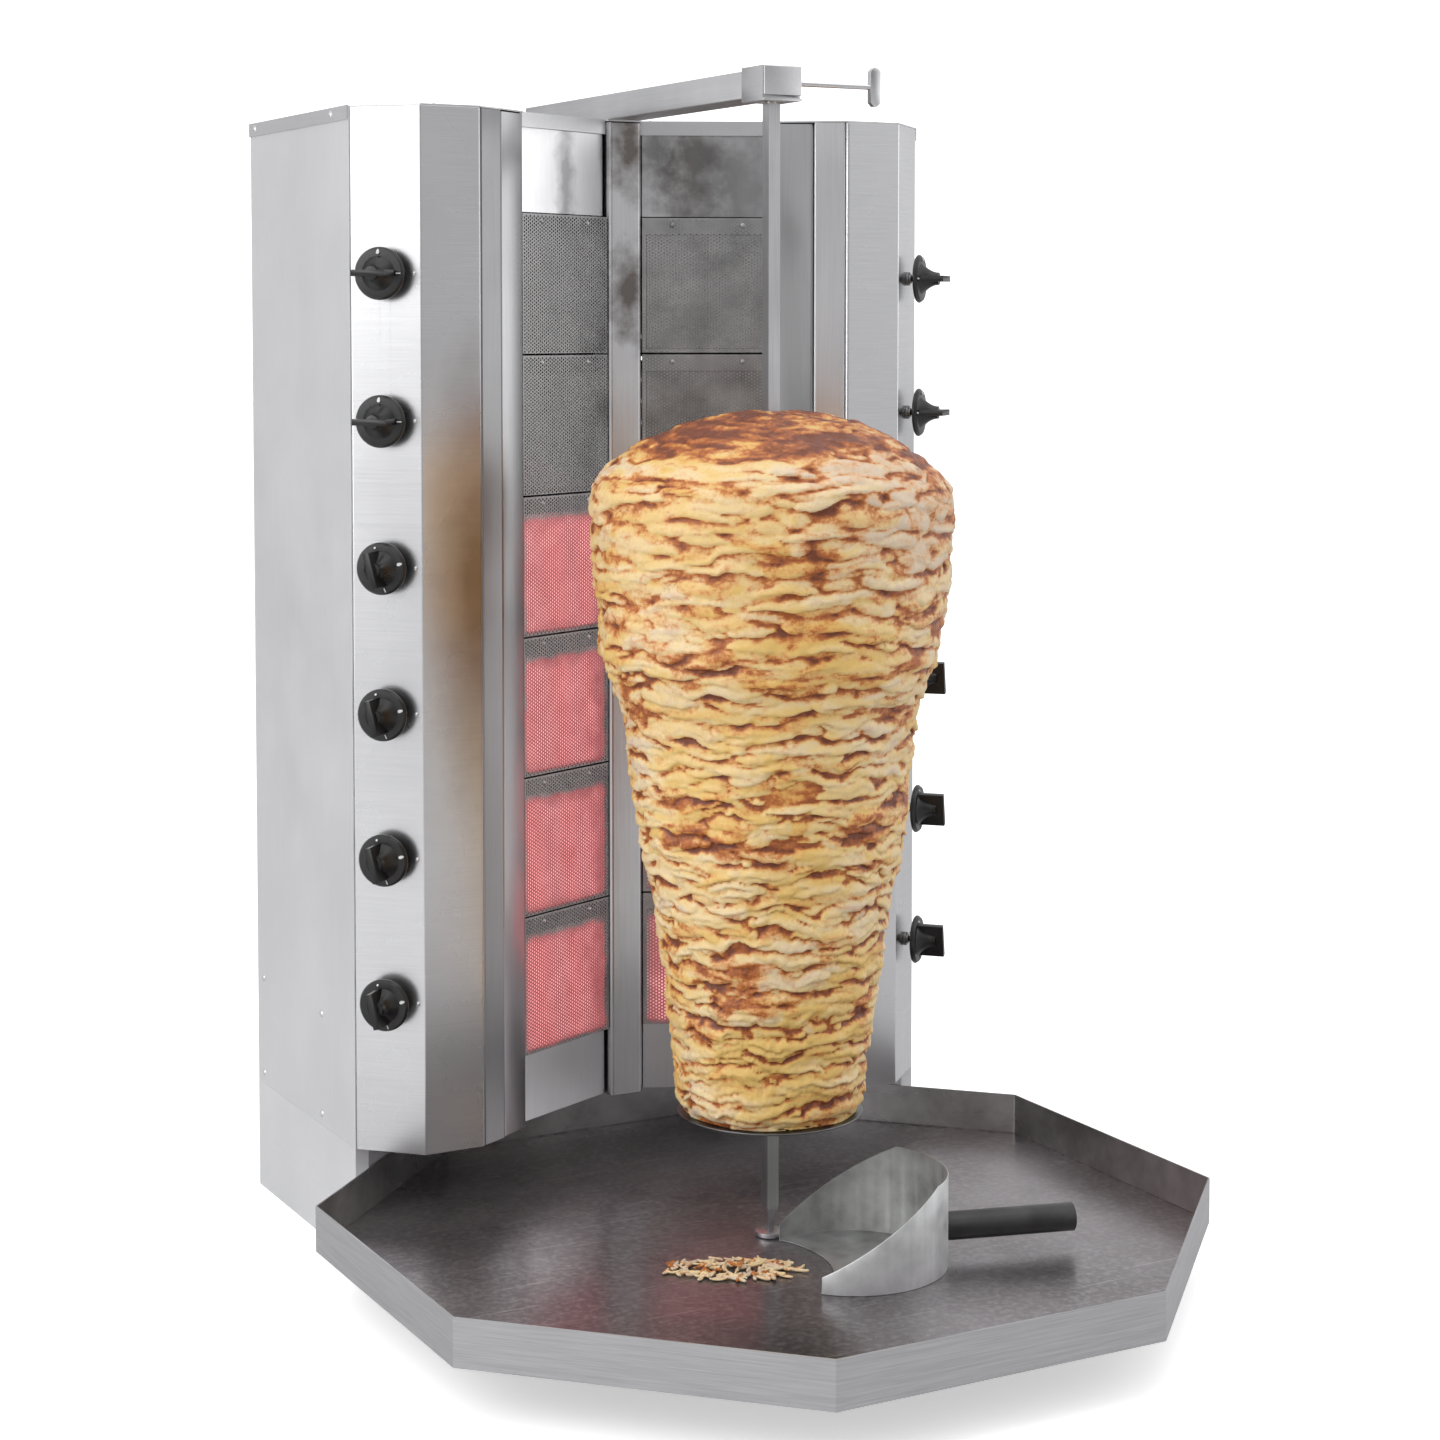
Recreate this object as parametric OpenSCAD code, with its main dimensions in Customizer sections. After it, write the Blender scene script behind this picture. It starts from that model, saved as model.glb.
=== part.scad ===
// Vertical rotisserie broiler: a gas fired counter machine with two columns of
// infrared burners, a turning spit in front of them and an octagonal drip tray.
// Millimetres. +X is right and -Y is the front as seen by the person using it, +Z is up.
// The origin is the middle of the machine's footprint, on the counter.
// Plan positions are taken from the spit's axis, and at_spit() puts them in that frame.

/* [Cabinet] */
// Width of the cabinet across its side panels
cabinet_w = 635; // [600:1:700]
// Height of the cabinet's panels above the plinth
cabinet_h = 1000; // [960:1:1100]
// Height of the plinth under the cabinet
plinth_h = 112; // [105:1:130]
// Distance from the spit's axis back to the rear face
back_y = 533; // [500:1:600]
// Distance from the spit's axis back to the side panels' front edge
side_front_y = 251; // [249:1:256]
// Thickness of the cabinet's sheet steel
sheet_t = 1.2; // [0.8:0.1:1.4]

/* [Tray] */
// Distance from the spit's axis to each side of the octagonal tray
tray_inradius = 391.4; // [386:0.1:391.4]
// Height of the tray's wall
tray_wall_h = 43; // [30:1:45]
// Height of the tray's underside above the counter
tray_z = 50; // [48:1:52]

/* [Burners] */
// Number of burners in each column
burner_count = 6; // [3:1:6]
// Height of the lowest burner's lower edge above the plinth
burner_low = 69; // [60:1:90]
// Height of the highest burner's upper edge above the plinth
burner_high = 905; // [880:1:920]
// Angle by which each burner column turns towards the middle
burner_turn = 25.5; // [20:0.5:30]

/* [Knobs] */
// Diameter of a knob's skirt
knob_d = 50; // [40:1:54]
// Height of a knob from its skirt to the end of its grip
knob_h = 31; // [26:1:36]
// Gap between a knob's skirt and the panel
knob_gap = 11.6; // [8:0.1:16]
// Height of the top knob above the plinth
knob_high = 843; // [820:1:860]
// Angle by which the four lit burners' knobs are turned from off
lit_turn = 76; // [0:1:90]

/* [Spit] */
// Side of the square spit bar
spit_w = 12; // [10:1:14]
// Radius of the meat plate
plate_r = 87; // [70:1:100]
// Height of the meat plate's upper face above the plinth
plate_z = 61.5; // [50:0.5:90]
// Length of the point at the spit's lower end
spit_taper = 24; // [10:1:40]

/* [Scoop] */
// Radius of the scoop's round pan
scoop_r = 88.5; // [85:0.5:90]
// Height of the scoop's back wall
scoop_h = 85; // [70:1:88]
// Diameter of the scoop's handle
scoop_handle_d = 26; // [22:1:30]

/* [Hidden] */
$fn = 48;
bend_steps = 4;
bend_r = 2.5;
touch = 0.1;

// The rear fittings stand out by inlet_out, so the footprint's middle is here.
inlet_out = 20;
spit_y = (tray_inradius - back_y - inlet_out) / 2;

// Heights above the counter
body_z = plinth_h;
body_top = plinth_h + cabinet_h + 1;
lid_t = 1.5;
lid_top = body_top + lid_t;
half_w = cabinet_w / 2;
tray_t = 1.5;
tray_floor = tray_z + tray_t;
tray_gap = 1.2;

// Plan outline of the left half, from the side panel towards the middle
corner_1 = [-half_w, side_front_y];
corner_2 = [-265.3, 200.4];
corner_3 = [-203.2, 200.4];
corner_4 = [-174.3, 217.6];
corner_5 = [-140.5, 241.6];
column_corner = [-136, 253];
column_w = 126;
column_lap = 7.5;
post_w = 39;
post_y = 300;
post_depth = 36;
post_r = 5;

// One burner of a column
burner_pitch = (burner_high - burner_low) / burner_count;
burner_line = 2;
burner_w = column_w + column_lap - 0.3;
burner_strip = 17;
screen_t = 1;
frame_t = 11;
frame_rim = 4;
frame_out = 5;
plaque_t = 13;
plaque_out = 4;
box_front = plaque_t - plaque_out;
box_depth = 34;
mixer_r = 11;
mixer_len = 60;

// Gas pipework
pipe_r = 10.7;
pipe_depth = 60;
pipe_z = 135;
cross_y = 470;
feed_r = 3;
spindle_r = 3;
valve_r = 11;

// Drive under the tray
housing_w = 300;
housing_front = -230;
housing_z = 8;
housing_t = 2;
shaft_r = 8;
fit_gap = 0.05;

// Arm and its end
arm_w = 36;
arm_h = 26;
arm_back = 505;
block_w = 39.5;
block_back = 21;
block_front = -18.5;
block_h = 32;
block_z = lid_top - 3.5;
bush_r = 10;
spigot_r = 5;
pin_r = 2.5;
pin_z = plinth_h + 1017;
pin_tip = 8.2;
pin_end = 107;

// Spit and meat: radius and height above the plinth, from the plate to the top
plate_t = 2;
socket_r = 14;
socket_t = 4;
meat_profile = [
    [84, 62], [90, 75], [94, 127], [109, 233], [126, 338], [138, 443], [156, 490],
    [163, 574], [168, 631], [165, 647], [142, 671], [115, 691], [78, 707], [0, 714]
];

// Scoop: centre of its pan, and the direction in which its handle points
scoop_at = [27, -102];
scoop_turn = -15;
scoop_t = 1.2;
scoop_mouth = 48;
scoop_bite = 28;
scoop_bite_r = 112;
scoop_lip = 15;
scoop_rise = 0.2;
handle_z = 27;
handle_end = 214;

// Pile of meat trimmings
pile_at = [-80, -69];
pile_turn = -28.6;
pile_half = [70, 30];
pile_h = 8;

// ---- plan geometry ----

function unit(v) = v / norm(v);
function left_of(a, b) = let (d = unit(b - a)) [-d[1], d[0]];
function flip_x(p) = [for (i = [len(p) - 1 : -1 : 0]) [-p[i][0], p[i][1]]];

// The arc that rounds corner b of a path through a, b and c
function corner_arc(a, b, c, r) =
    let (u = unit(a - b))
    let (v = unit(c - b))
    let (half = acos(u * v) / 2)
    let (centre = b + unit(u + v) * r / sin(half))
    let (start = b + u * r / tan(half))
    let (stop = b + v * r / tan(half))
    [for (k = [0 : bend_steps])
        centre + r * unit((start - centre) * (bend_steps - k) + (stop - centre) * k)];

function rounded(p, r) = [
    for (i = [0 : len(p) - 1])
        each (i == 0 || i == len(p) - 1 ? [p[i]] : corner_arc(p[i - 1], p[i], p[i + 1], r))
];

// The path moved to its left by t, with mitred corners
function beside(p, t) = [
    for (i = [0 : len(p) - 1])
        let (n1 = i == 0 ? left_of(p[0], p[1]) : left_of(p[i - 1], p[i]))
        let (n2 = i == len(p) - 1 ? n1 : left_of(p[i], p[i + 1]))
        let (m = unit(n1 + n2))
        p[i] + m * t / (m * n1)
];
function reversed(p) = [for (i = [len(p) - 1 : -1 : 0]) p[i]];

// Front outline of the cabinet from the left side panel to the right one
function front_outline() =
    let (
        inner = column_corner + column_w * [cos(burner_turn), sin(burner_turn)],
        half = [corner_1, corner_2, corner_3, corner_4, corner_5, column_corner, inner,
                [-post_w / 2, post_y]]
    )
    concat(half, flip_x(half));

// Knob panel: middle of its face and its outward normal; heights of knob i and burner i
knob_mid = (corner_1 + corner_2) / 2;
knob_out = -left_of(corner_1, corner_2);
function knob_z(i) = body_z + knob_high - i * burner_pitch;
function burner_z(i) = body_z + burner_low + i * burner_pitch;

// ---- building blocks ----

module at_spit() {
    translate([0, spit_y, 0]) children();
}

module right_side() {
    mirror([1, 0, 0]) children();
}

// A folded sheet that follows a path, with its thickness on the path's left
module sheet(path, t, h, r = bend_r) {
    outer = rounded(path, r);
    linear_extrude(h) polygon(concat(outer, reversed(beside(outer, t))));
}

// The frame of a burner column: X along the column, Y into the cabinet
module in_column() {
    translate(column_corner) rotate([0, 0, burner_turn]) children();
}

// The frame of a control on a knob panel, -1 for the left one and 1 for the right one:
// Z along the panel's outward normal, X to the right as seen from the front
module on_knob_panel(side, z) {
    turn = atan2(knob_out[1], -side * knob_out[0]) + 90;
    translate([-side * knob_mid[0], knob_mid[1], z]) rotate([90, 0, turn]) children();
}

// A dome screw head standing on the plane z = 0
module dome_head(r, h) {
    ball = (r * r + h * h) / (2 * h);
    edge = asin(r / ball);
    arc = [for (k = [0 : 6]) ball * [sin(edge * k / 6), cos(edge * k / 6)]];
    rotate_extrude() polygon(concat([[0, 0]], reversed([for (p = arc) p - [0, ball - h]])));
}

module hexagon(across, h) {
    cylinder(d = across / cos(30), h = h, $fn = 6);
}

// ---- base ----

module base_plinth() {
    t = 1.5;
    wall = tray_inradius + tray_gap;
    diagonal = wall * sqrt(2);
    flange = -half_w + 13;
    step = [flange, diagonal + flange];
    path = [[0, back_y], [-half_w, back_y], [-half_w, side_front_y],
            [flange, side_front_y], step, [wall - diagonal, wall], [0, wall]];
    color("silver") at_spit() {
        union() {
            linear_extrude(plinth_h) difference() {
                polygon(concat(path, flip_x(path)));
                polygon(concat(beside(path, t), flip_x(beside(path, t))));
            }
            linear_extrude(t) polygon(concat(path, flip_x(path)));
        }
    }
}

module drive_housing() {
    length = tray_inradius - housing_front;
    height = tray_z - housing_z;
    color("gray") at_spit() difference() {
        translate([-housing_w / 2, housing_front, housing_z]) cube([housing_w, length, height]);
        translate([-housing_w / 2 + housing_t, housing_front + housing_t, housing_z + housing_t])
            cube([housing_w - 2 * housing_t, length - 2 * housing_t, height - 2 * housing_t]);
        translate([0, 0, tray_z - 2 * housing_t]) cylinder(r = shaft_r + 2, h = 3 * housing_t);
    }
}

module rubber_feet() {
    foot_r = 15;
    color("dimgray") at_spit()
        for (x = [-1, 1], y = [housing_front + 30, tray_inradius - 60])
            translate([x * (housing_w / 2 - 30), y, 0]) cylinder(r = foot_r, h = housing_z);
}

function octagon(r) = [for (k = [0 : 7]) r / cos(22.5) * [cos(45 * k + 22.5), sin(45 * k + 22.5)]];

module tray() {
    color("dimgray") at_spit() difference() {
        translate([0, 0, tray_z]) linear_extrude(tray_wall_h) polygon(octagon(tray_inradius));
        translate([0, 0, tray_floor])
            linear_extrude(tray_wall_h) polygon(octagon(tray_inradius - tray_t));
        translate([0, 0, tray_z - 1]) cylinder(r = shaft_r + 2, h = tray_t + 2);
    }
}

// ---- cabinet panels ----

module left_side_panel() {
    back_return = 18;
    back = back_y - sheet_t;
    color("lightgray") at_spit() translate([0, 0, body_z])
        sheet([[-half_w + back_return, back], [-half_w, back], [-half_w, side_front_y]],
              sheet_t, body_top - body_z);
}

module right_side_panel() {
    right_side() left_side_panel();
}

module back_panel() {
    rows = 16;
    columns = 3;
    slot = [90, 4];
    slot_pitch = [150, 24];
    low = 420;
    color("lightgray") at_spit() difference() {
        translate([-half_w, back_y - sheet_t, body_z])
            cube([cabinet_w, sheet_t, body_top - body_z]);
        for (i = [0 : columns - 1], j = [0 : rows - 1])
            translate([(i - (columns - 1) / 2) * slot_pitch[0] - slot[0] / 2, back_y - 5,
                       body_z + low + j * slot_pitch[1]])
                cube([slot[0], 10, slot[1]]);
        translate([0, back_y + 5, pipe_z]) rotate([90, 0, 0]) cylinder(r = 12, h = 10);
        translate([gland_x, back_y + 5, gland_z]) rotate([90, 0, 0]) cylinder(r = 8, h = 10);
    }
}

// One sheet makes the slanted knob panel and the narrow panel beside it
module left_front_panel() {
    inside = -half_w + sheet_t + touch;
    lap = 22;
    hem = 11;
    slope = (corner_2[1] - corner_1[1]) / (corner_2[0] - corner_1[0]);
    first = [inside, corner_1[1] + slope * (inside - corner_1[0])];
    color("white") at_spit() difference() {
        translate([0, 0, body_z])
            sheet([first + [0, lap], first, corner_2, corner_3, corner_3 + [0, hem]],
                  sheet_t, body_top - body_z);
        for (i = [0 : burner_count - 1])
            on_knob_panel(-1, knob_z(i)) translate([0, 0, -10]) cylinder(r = 5, h = 20);
    }
}

module right_front_panel() {
    right_side() left_front_panel();
}

module left_reveal_strip() {
    start = corner_3 + [touch, 1.8];
    back = left_of(start, corner_4);
    color("gray") at_spit() translate([0, 0, body_z])
        sheet([start + [0, 13], start, corner_4, corner_4 + 12 * back],
              sheet_t, body_top - body_z, 1.8);
}

module right_reveal_strip() {
    right_side() left_reveal_strip();
}

module left_trim_channel() {
    start = corner_3 + [touch, 1.8];
    along = unit(corner_4 - start);
    back = left_of(start, corner_4);
    first = corner_4 + touch * along + 2 * back;
    burner_back = [-sin(burner_turn), cos(burner_turn)];
    color("silver") at_spit() translate([0, 0, body_z])
        sheet([first + 10 * back, first, corner_5, corner_5 + 20 * burner_back],
              sheet_t, body_top - body_z - 1, 3.5);
}

module right_trim_channel() {
    right_side() left_trim_channel();
}

module center_post() {
    half = post_w / 2;
    color("silver") at_spit() translate([0, 0, body_z])
        sheet([[-half, post_y + post_depth], [-half, post_y], [half, post_y],
               [half, post_y + post_depth]], sheet_t, body_top - body_z - 1, post_r);
}

module lid() {
    proud = 1.5;
    skirt = 12;
    lip = 14.5;
    lip_len = column_w + column_lap + 1.2;
    front = front_outline();
    back = [[half_w + proud, back_y + proud], [-half_w - proud, back_y + proud]];
    color("silver") at_spit() {
        union() {
            translate([0, 0, body_top]) linear_extrude(lid_t) {
                polygon(concat(front, [[half_w, back_y], [-half_w, back_y]]));
                for (x = [-half_w - proud, half_w])
                    translate([x, side_front_y]) square([proud, back_y - side_front_y]);
            }
            for (x = [-half_w - proud, half_w + touch])
                translate([x, side_front_y, body_top - skirt])
                    cube([proud - touch, back_y - side_front_y, skirt]);
            for (side = [0, 1]) mirror([side, 0, 0]) in_column()
                translate([-column_lap, -3, body_top - lip + lid_t]) {
                    cube([lip_len, 1.2, lip]);
                    translate([0, 0, lip - lid_t]) cube([lip_len, 3.5, lid_t]);
                }
        }
    }
}

module bottom_plate() {
    inset = 4;
    inner = beside(front_outline(), inset);
    sides = [[half_w - inset, back_y - inset], [-half_w + inset, back_y - inset]];
    slot_turn = atan2(corner_4[1] - corner_3[1], corner_4[0] - corner_3[0]);
    color("gray") at_spit() translate([0, 0, body_z])
        linear_extrude(1.5) difference() {
            polygon(concat(inner, sides));
            translate([-post_w / 2 - 1, post_y - 2]) square([post_w + 2, post_depth + 3]);
            for (side = [0, 1]) mirror([side, 0, 0]) {
                translate(corner_3 - [1.5, 2]) square([4, 18]);
                translate(corner_4) rotate([0, 0, slot_turn]) translate([-3, -3]) square([5.5, 20]);
                in_column() translate([-11, -12]) square([5, 26]);
            }
        }
}

// ---- burner columns ----

// One plain sheet closes the column below the burners and one above them
module left_burner_panel() {
    ends = [[body_z + 1.6, body_z + burner_low - touch], [body_z + burner_high + touch, body_top - touch]];
    color("silver") at_spit() in_column() for (end = ends)
        translate([-column_lap, 0, end[0]])
            cube([column_w + column_lap, sheet_t, end[1] - end[0]]);
}

module right_burner_panel() {
    right_side() left_burner_panel();
}

// Places one copy for each burner, with Z at the burner's lower edge
module each_burner() {
    for (i = [0 : burner_count - 1]) translate([0, 0, burner_z(i)]) children();
}

module left_burner_frames() {
    h = burner_pitch - burner_line;
    w = burner_w;
    color("dimgray") at_spit() in_column() each_burner()
        translate([-column_lap, -frame_out, burner_line / 2]) difference() {
            cube([w, frame_t, h]);
            translate([frame_rim, -1, frame_rim])
                cube([w - 2 * frame_rim, frame_t + 2, h - frame_rim - burner_strip]);
        }
}

module right_burner_frames() {
    right_side() left_burner_frames();
}

module left_mesh_screens() {
    h = burner_pitch - burner_line;
    color("indianred") at_spit() in_column() each_burner()
        translate([-column_lap, -frame_out - screen_t, burner_line / 2])
            cube([burner_w, screen_t, h]);
}

module right_mesh_screens() {
    right_side() left_mesh_screens();
}

// Two plaques stand side by side in each burner
module left_ceramic_plaques() {
    gap = 0.5;
    inside = frame_rim + gap;
    w = (burner_w - 2 * inside - gap) / 2;
    h = burner_pitch - burner_line - burner_strip - frame_rim - 2 * gap;
    color("orangered") at_spit() in_column() each_burner()
        for (k = [0, 1])
            translate([-column_lap + inside + k * (w + gap), -plaque_out,
                       burner_line / 2 + inside])
                cube([w, plaque_t, h]);
}

module right_ceramic_plaques() {
    right_side() left_ceramic_plaques();
}

module left_burner_boxes() {
    h = burner_pitch - burner_line - burner_strip;
    color("gray") at_spit() in_column() each_burner() union() {
        translate([-column_lap, box_front, burner_line / 2]) cube([burner_w, box_depth, h]);
        translate([-column_lap - mixer_len, box_front + box_depth / 2, h / 2])
            rotate([0, 90, 0]) cylinder(r = mixer_r, h = mixer_len + 1);
    }
}

module right_burner_boxes() {
    right_side() left_burner_boxes();
}

// ---- gas ----

// A rising pipe, its run to the back, and one thin feed tube to each burner
module left_gas_manifold() {
    riser = knob_mid - pipe_depth * knob_out;
    feed_from = knob_mid - 25 * knob_out;
    box_y = box_front + box_depth / 2;
    far = [-column_lap - mixer_len, box_y];
    feed_to = column_corner
        + far[0] * [cos(burner_turn), sin(burner_turn)]
        + far[1] * [-sin(burner_turn), cos(burner_turn)];
    feed = feed_to - feed_from;
    start_gap = 22;
    color("goldenrod") at_spit() {
        union() {
            translate([riser[0], riser[1], pipe_z])
                cylinder(r = pipe_r, h = knob_z(0) + 30 - pipe_z);
            translate([riser[0], riser[1], pipe_z]) sphere(r = pipe_r);
            translate([riser[0], riser[1], pipe_z])
                rotate([-90, 0, 0]) cylinder(r = pipe_r, h = cross_y - riser[1]);
            translate([riser[0], cross_y, pipe_z]) sphere(r = pipe_r);
            translate([riser[0], cross_y, pipe_z])
                rotate([0, 90, 0]) cylinder(r = pipe_r, h = -riser[0] - 18);
        }
        for (i = [0 : burner_count - 1])
            translate([feed_from[0], feed_from[1], knob_z(i)])
                rotate([0, 90, atan2(feed[1], feed[0])])
                translate([0, 0, start_gap]) cylinder(r = feed_r, h = norm(feed) - start_gap - 0.5);
    }
}

module right_gas_manifold() {
    right_side() left_gas_manifold();
}

// A valve stands behind the panel, and its collar shows around the spindle
module gas_valve() {
    length = pipe_depth - pipe_r - touch;
    difference() {
        union() {
            translate([0, 0, -length]) cylinder(r = valve_r, h = length - 6);
            translate([0, 0, -7]) cylinder(r = 4.8, h = 12);
            translate([0, 0, touch]) cylinder(r = 7, h = 3);
        }
        translate([0, 0, -20]) cylinder(r = spindle_r + fit_gap, h = 40);
    }
}

module gas_valves() {
    color("darkgoldenrod") at_spit() for (i = [0 : burner_count - 1], side = [-1, 1])
        on_knob_panel(side, knob_z(i)) gas_valve();
}

inlet_r = 10.5;

module gas_inlet() {
    tee_r = 14;
    tail = 14;
    reach = back_y - cross_y + inlet_out;
    color("goldenrod") at_spit() translate([0, cross_y, pipe_z]) difference() {
        union() {
            translate([-18, 0, 0]) rotate([0, 90, 0]) cylinder(r = tee_r, h = 36);
            rotate([-90, 0, 0]) cylinder(r = inlet_r - 1, h = reach);
            translate([0, reach - tail, 0]) rotate([-90, 0, 0]) cylinder(r = inlet_r, h = tail);
            translate([0, back_y - cross_y - 8, 0]) rotate([-90, 0, 0]) hexagon(30, 6);
        }
        rotate([-90, 0, 0]) cylinder(r = 7.5, h = reach + 1);
    }
}

// ---- top arm ----

module support_arm() {
    wall = 2;
    length = arm_back - block_back;
    color("silver") at_spit() translate([-arm_w / 2, block_back, lid_top]) difference() {
        cube([arm_w, length, arm_h]);
        translate([wall, -1, wall]) cube([arm_w - 2 * wall, length - wall, arm_h - 2 * wall]);
    }
}

module arm_end_block() {
    color("silver") at_spit() difference() {
        union() {
            translate([-block_w / 2, block_front, block_z])
                cube([block_w, block_back - block_front, block_h]);
            translate([-block_w / 2, block_front - 3.5, block_z]) cube([block_w, 4, 2.5]);
        }
        translate([0, 0, block_z - 1]) cylinder(r = bush_r, h = 27);
        translate([bush_r - 2, 0, pin_z]) rotate([0, 90, 0]) cylinder(r = pin_r + fit_gap, h = 20);
    }
}

// A plate closes the block's front, a small gap away and clear of its bottom lip
module arm_end_cap() {
    plate = 2.5;
    rise = 5;
    front = block_front - 1 - plate;
    color("silver") at_spit() union() {
        translate([-block_w / 2, front, block_z + rise])
            cube([block_w, plate, block_h - rise - 0.5]);
        translate([-6, front + plate - 0.5, block_z + 12]) cube([12, 1.5, 12]);
    }
}

module spit_bush() {
    color("goldenrod") at_spit() difference() {
        translate([0, 0, block_z + 0.5]) cylinder(r = bush_r, h = 25);
        translate([0, 0, block_z - 5]) cylinder(r = spigot_r + fit_gap, h = 40);
        translate([pin_tip - 0.2, 0, pin_z])
            rotate([0, 90, 0]) cylinder(r = pin_r + 2 * fit_gap, h = 10);
    }
}

// ---- small fixings ----

module arm_bolts() {
    color("gray") at_spit()
        for (y = [497, 381]) translate([0, y, lid_top + arm_h]) dome_head(6, 3);
}

// Screw heads on both sides, on the lid and on the back
module dome_screws() {
    r = 4;
    h = 1.8;
    skirt_proud = 1.5;
    color("gray") at_spit() {
        for (side = [0, 1]) mirror([side, 0, 0]) {
            for (y = [295, back_y - 18])
                translate([-half_w - skirt_proud, y, body_z + 996])
                    rotate([0, -90, 0]) dome_head(r, h);
            for (y = [343, back_y - 18], z = [11.5, plinth_h])
                translate([-half_w, y, body_z + z]) rotate([0, -90, 0]) dome_head(r, h);
            for (p = [[-245, 215], [-38, 318], [-300, 290], [-300, back_y - 20]])
                translate([p[0], p[1], lid_top]) dome_head(r, h);
            for (z = [20, 260, 500, 740, 980])
                translate([-half_w + 9, back_y, body_z + z]) rotate([-90, 0, 0]) dome_head(r, h);
        }
    }
}

// A round pin beside each knob marks its off position
module index_pins() {
    r = 2.2;
    h = 2;
    beside_knob = 29.5;
    color("silver") at_spit() for (i = [0 : burner_count - 1], side = [-1, 1])
        on_knob_panel(side, knob_z(i)) translate([beside_knob, 0, 0]) dome_head(r, h);
}

module burner_rivets() {
    r = 2.6;
    h = 1.2;
    color("gray") at_spit() for (side = [0, 1]) mirror([side, 0, 0]) in_column() each_burner()
        for (x = [23, 95])
            translate([x, -frame_out - screen_t, burner_pitch - burner_strip / 2])
                rotate([90, 0, 0]) dome_head(r, h);
}

// ---- drive ----

module gearmotor() {
    gearbox = [110, 80, 34];
    motor_r = 16;
    top = tray_z - housing_t - 1;
    color("gray") at_spit() difference() {
        union() {
            translate([-gearbox[0] / 2, -gearbox[1] / 2, top - gearbox[2]]) cube(gearbox);
            translate([0, gearbox[1] / 2 - 1, top - gearbox[2] / 2])
                rotate([-90, 0, 0]) cylinder(r = motor_r, h = 120);
        }
        translate([0, 0, housing_z]) cylinder(r = shaft_r + fit_gap, h = tray_z);
    }
}

gland_x = 150;
gland_z = 165;

module cable_gland() {
    color("dimgray") at_spit() translate([gland_x, back_y, gland_z]) rotate([-90, 0, 0])
        difference() {
            union() {
                translate([0, 0, -8]) cylinder(r = 7.8, h = 9);
                hexagon(24, 6);
                translate([0, 0, 5]) cylinder(r = 10, h = 7);
                translate([0, 0, 11]) cylinder(r1 = 10, r2 = 6.5, h = 6);
            }
            translate([0, 0, -10]) cylinder(r = 4, h = 40);
        }
}

// ---- spit ----

// A square bar with a tapered point below and a round spigot above
module spit_rod() {
    foot = tray_floor + 1 + socket_t;
    shoulder = block_z - 1.5;
    tip = 2.5;
    half = spit_w / 2;
    color("silver") at_spit() union() {
        translate([-half, -half, foot + spit_taper])
            cube([spit_w, spit_w, shoulder - foot - spit_taper]);
        intersection() {
            translate([0, half, 0]) rotate([90, 0, 0]) linear_extrude(spit_w)
                polygon([[-tip, foot], [tip, foot], [half, foot + spit_taper],
                         [-half, foot + spit_taper]]);
            translate([-half, 0, 0]) rotate([90, 0, 90]) linear_extrude(spit_w)
                polygon([[-tip, foot], [tip, foot], [half, foot + spit_taper],
                         [-half, foot + spit_taper]]);
        }
        translate([0, 0, shoulder - 1]) cylinder(r = spigot_r, h = 24);
    }
}

module square_hole(z, h) {
    translate([-spit_w / 2, -spit_w / 2, z]) cube([spit_w, spit_w, h]);
}

module meat_plate() {
    z = body_z + plate_z;
    color("dimgray") at_spit() difference() {
        translate([0, 0, z - plate_t]) cylinder(r = plate_r, h = plate_t, $fn = 96);
        square_hole(z - 10, 20);
    }
}

module meat_cone() {
    low = meat_profile[0];
    top = meat_profile[len(meat_profile) - 1];
    rim = [for (p = meat_profile) [p[0], p[1] + body_z]];
    color("burlywood") at_spit() difference() {
        rotate_extrude($fn = 96) polygon(concat([[0, low[1] + body_z]], rim));
        square_hole(body_z, top[1] + 10);
    }
}

// The disc on the tray's floor takes the spit's point, and its shaft goes to the gearmotor
module drive_socket() {
    color("gray") at_spit() {
        translate([0, 0, tray_floor + 1]) cylinder(r = socket_r, h = socket_t);
        translate([0, 0, 18]) cylinder(r = shaft_r, h = tray_floor + 1.5 - 18);
    }
}

module lock_pin() {
    grip = [11, 6, 36];
    chamfer = 3.5;
    out = grip[0];
    half = grip[2] / 2;
    color("silver") at_spit() translate([0, 0, pin_z]) {
        union() {
            translate([pin_tip, 0, 0]) rotate([0, 90, 0]) cylinder(r = pin_r, h = pin_end - pin_tip);
            translate([pin_end - 1.6, grip[1] / 2, 0]) rotate([90, 0, 0]) linear_extrude(grip[1])
                polygon([[0, -half + chamfer], [chamfer, -half], [out - chamfer, -half],
                         [out, -half + chamfer], [out, half - chamfer], [out - chamfer, half],
                         [chamfer, half], [0, half - chamfer]]);
        }
    }
}

// ---- scoop and trimmings ----

// The scoop's own frame: X towards its handle, Z up from the tray's floor
module at_scoop() {
    translate([scoop_at[0], scoop_at[1], tray_floor + scoop_rise])
        rotate([0, 0, scoop_turn]) children();
}

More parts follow.
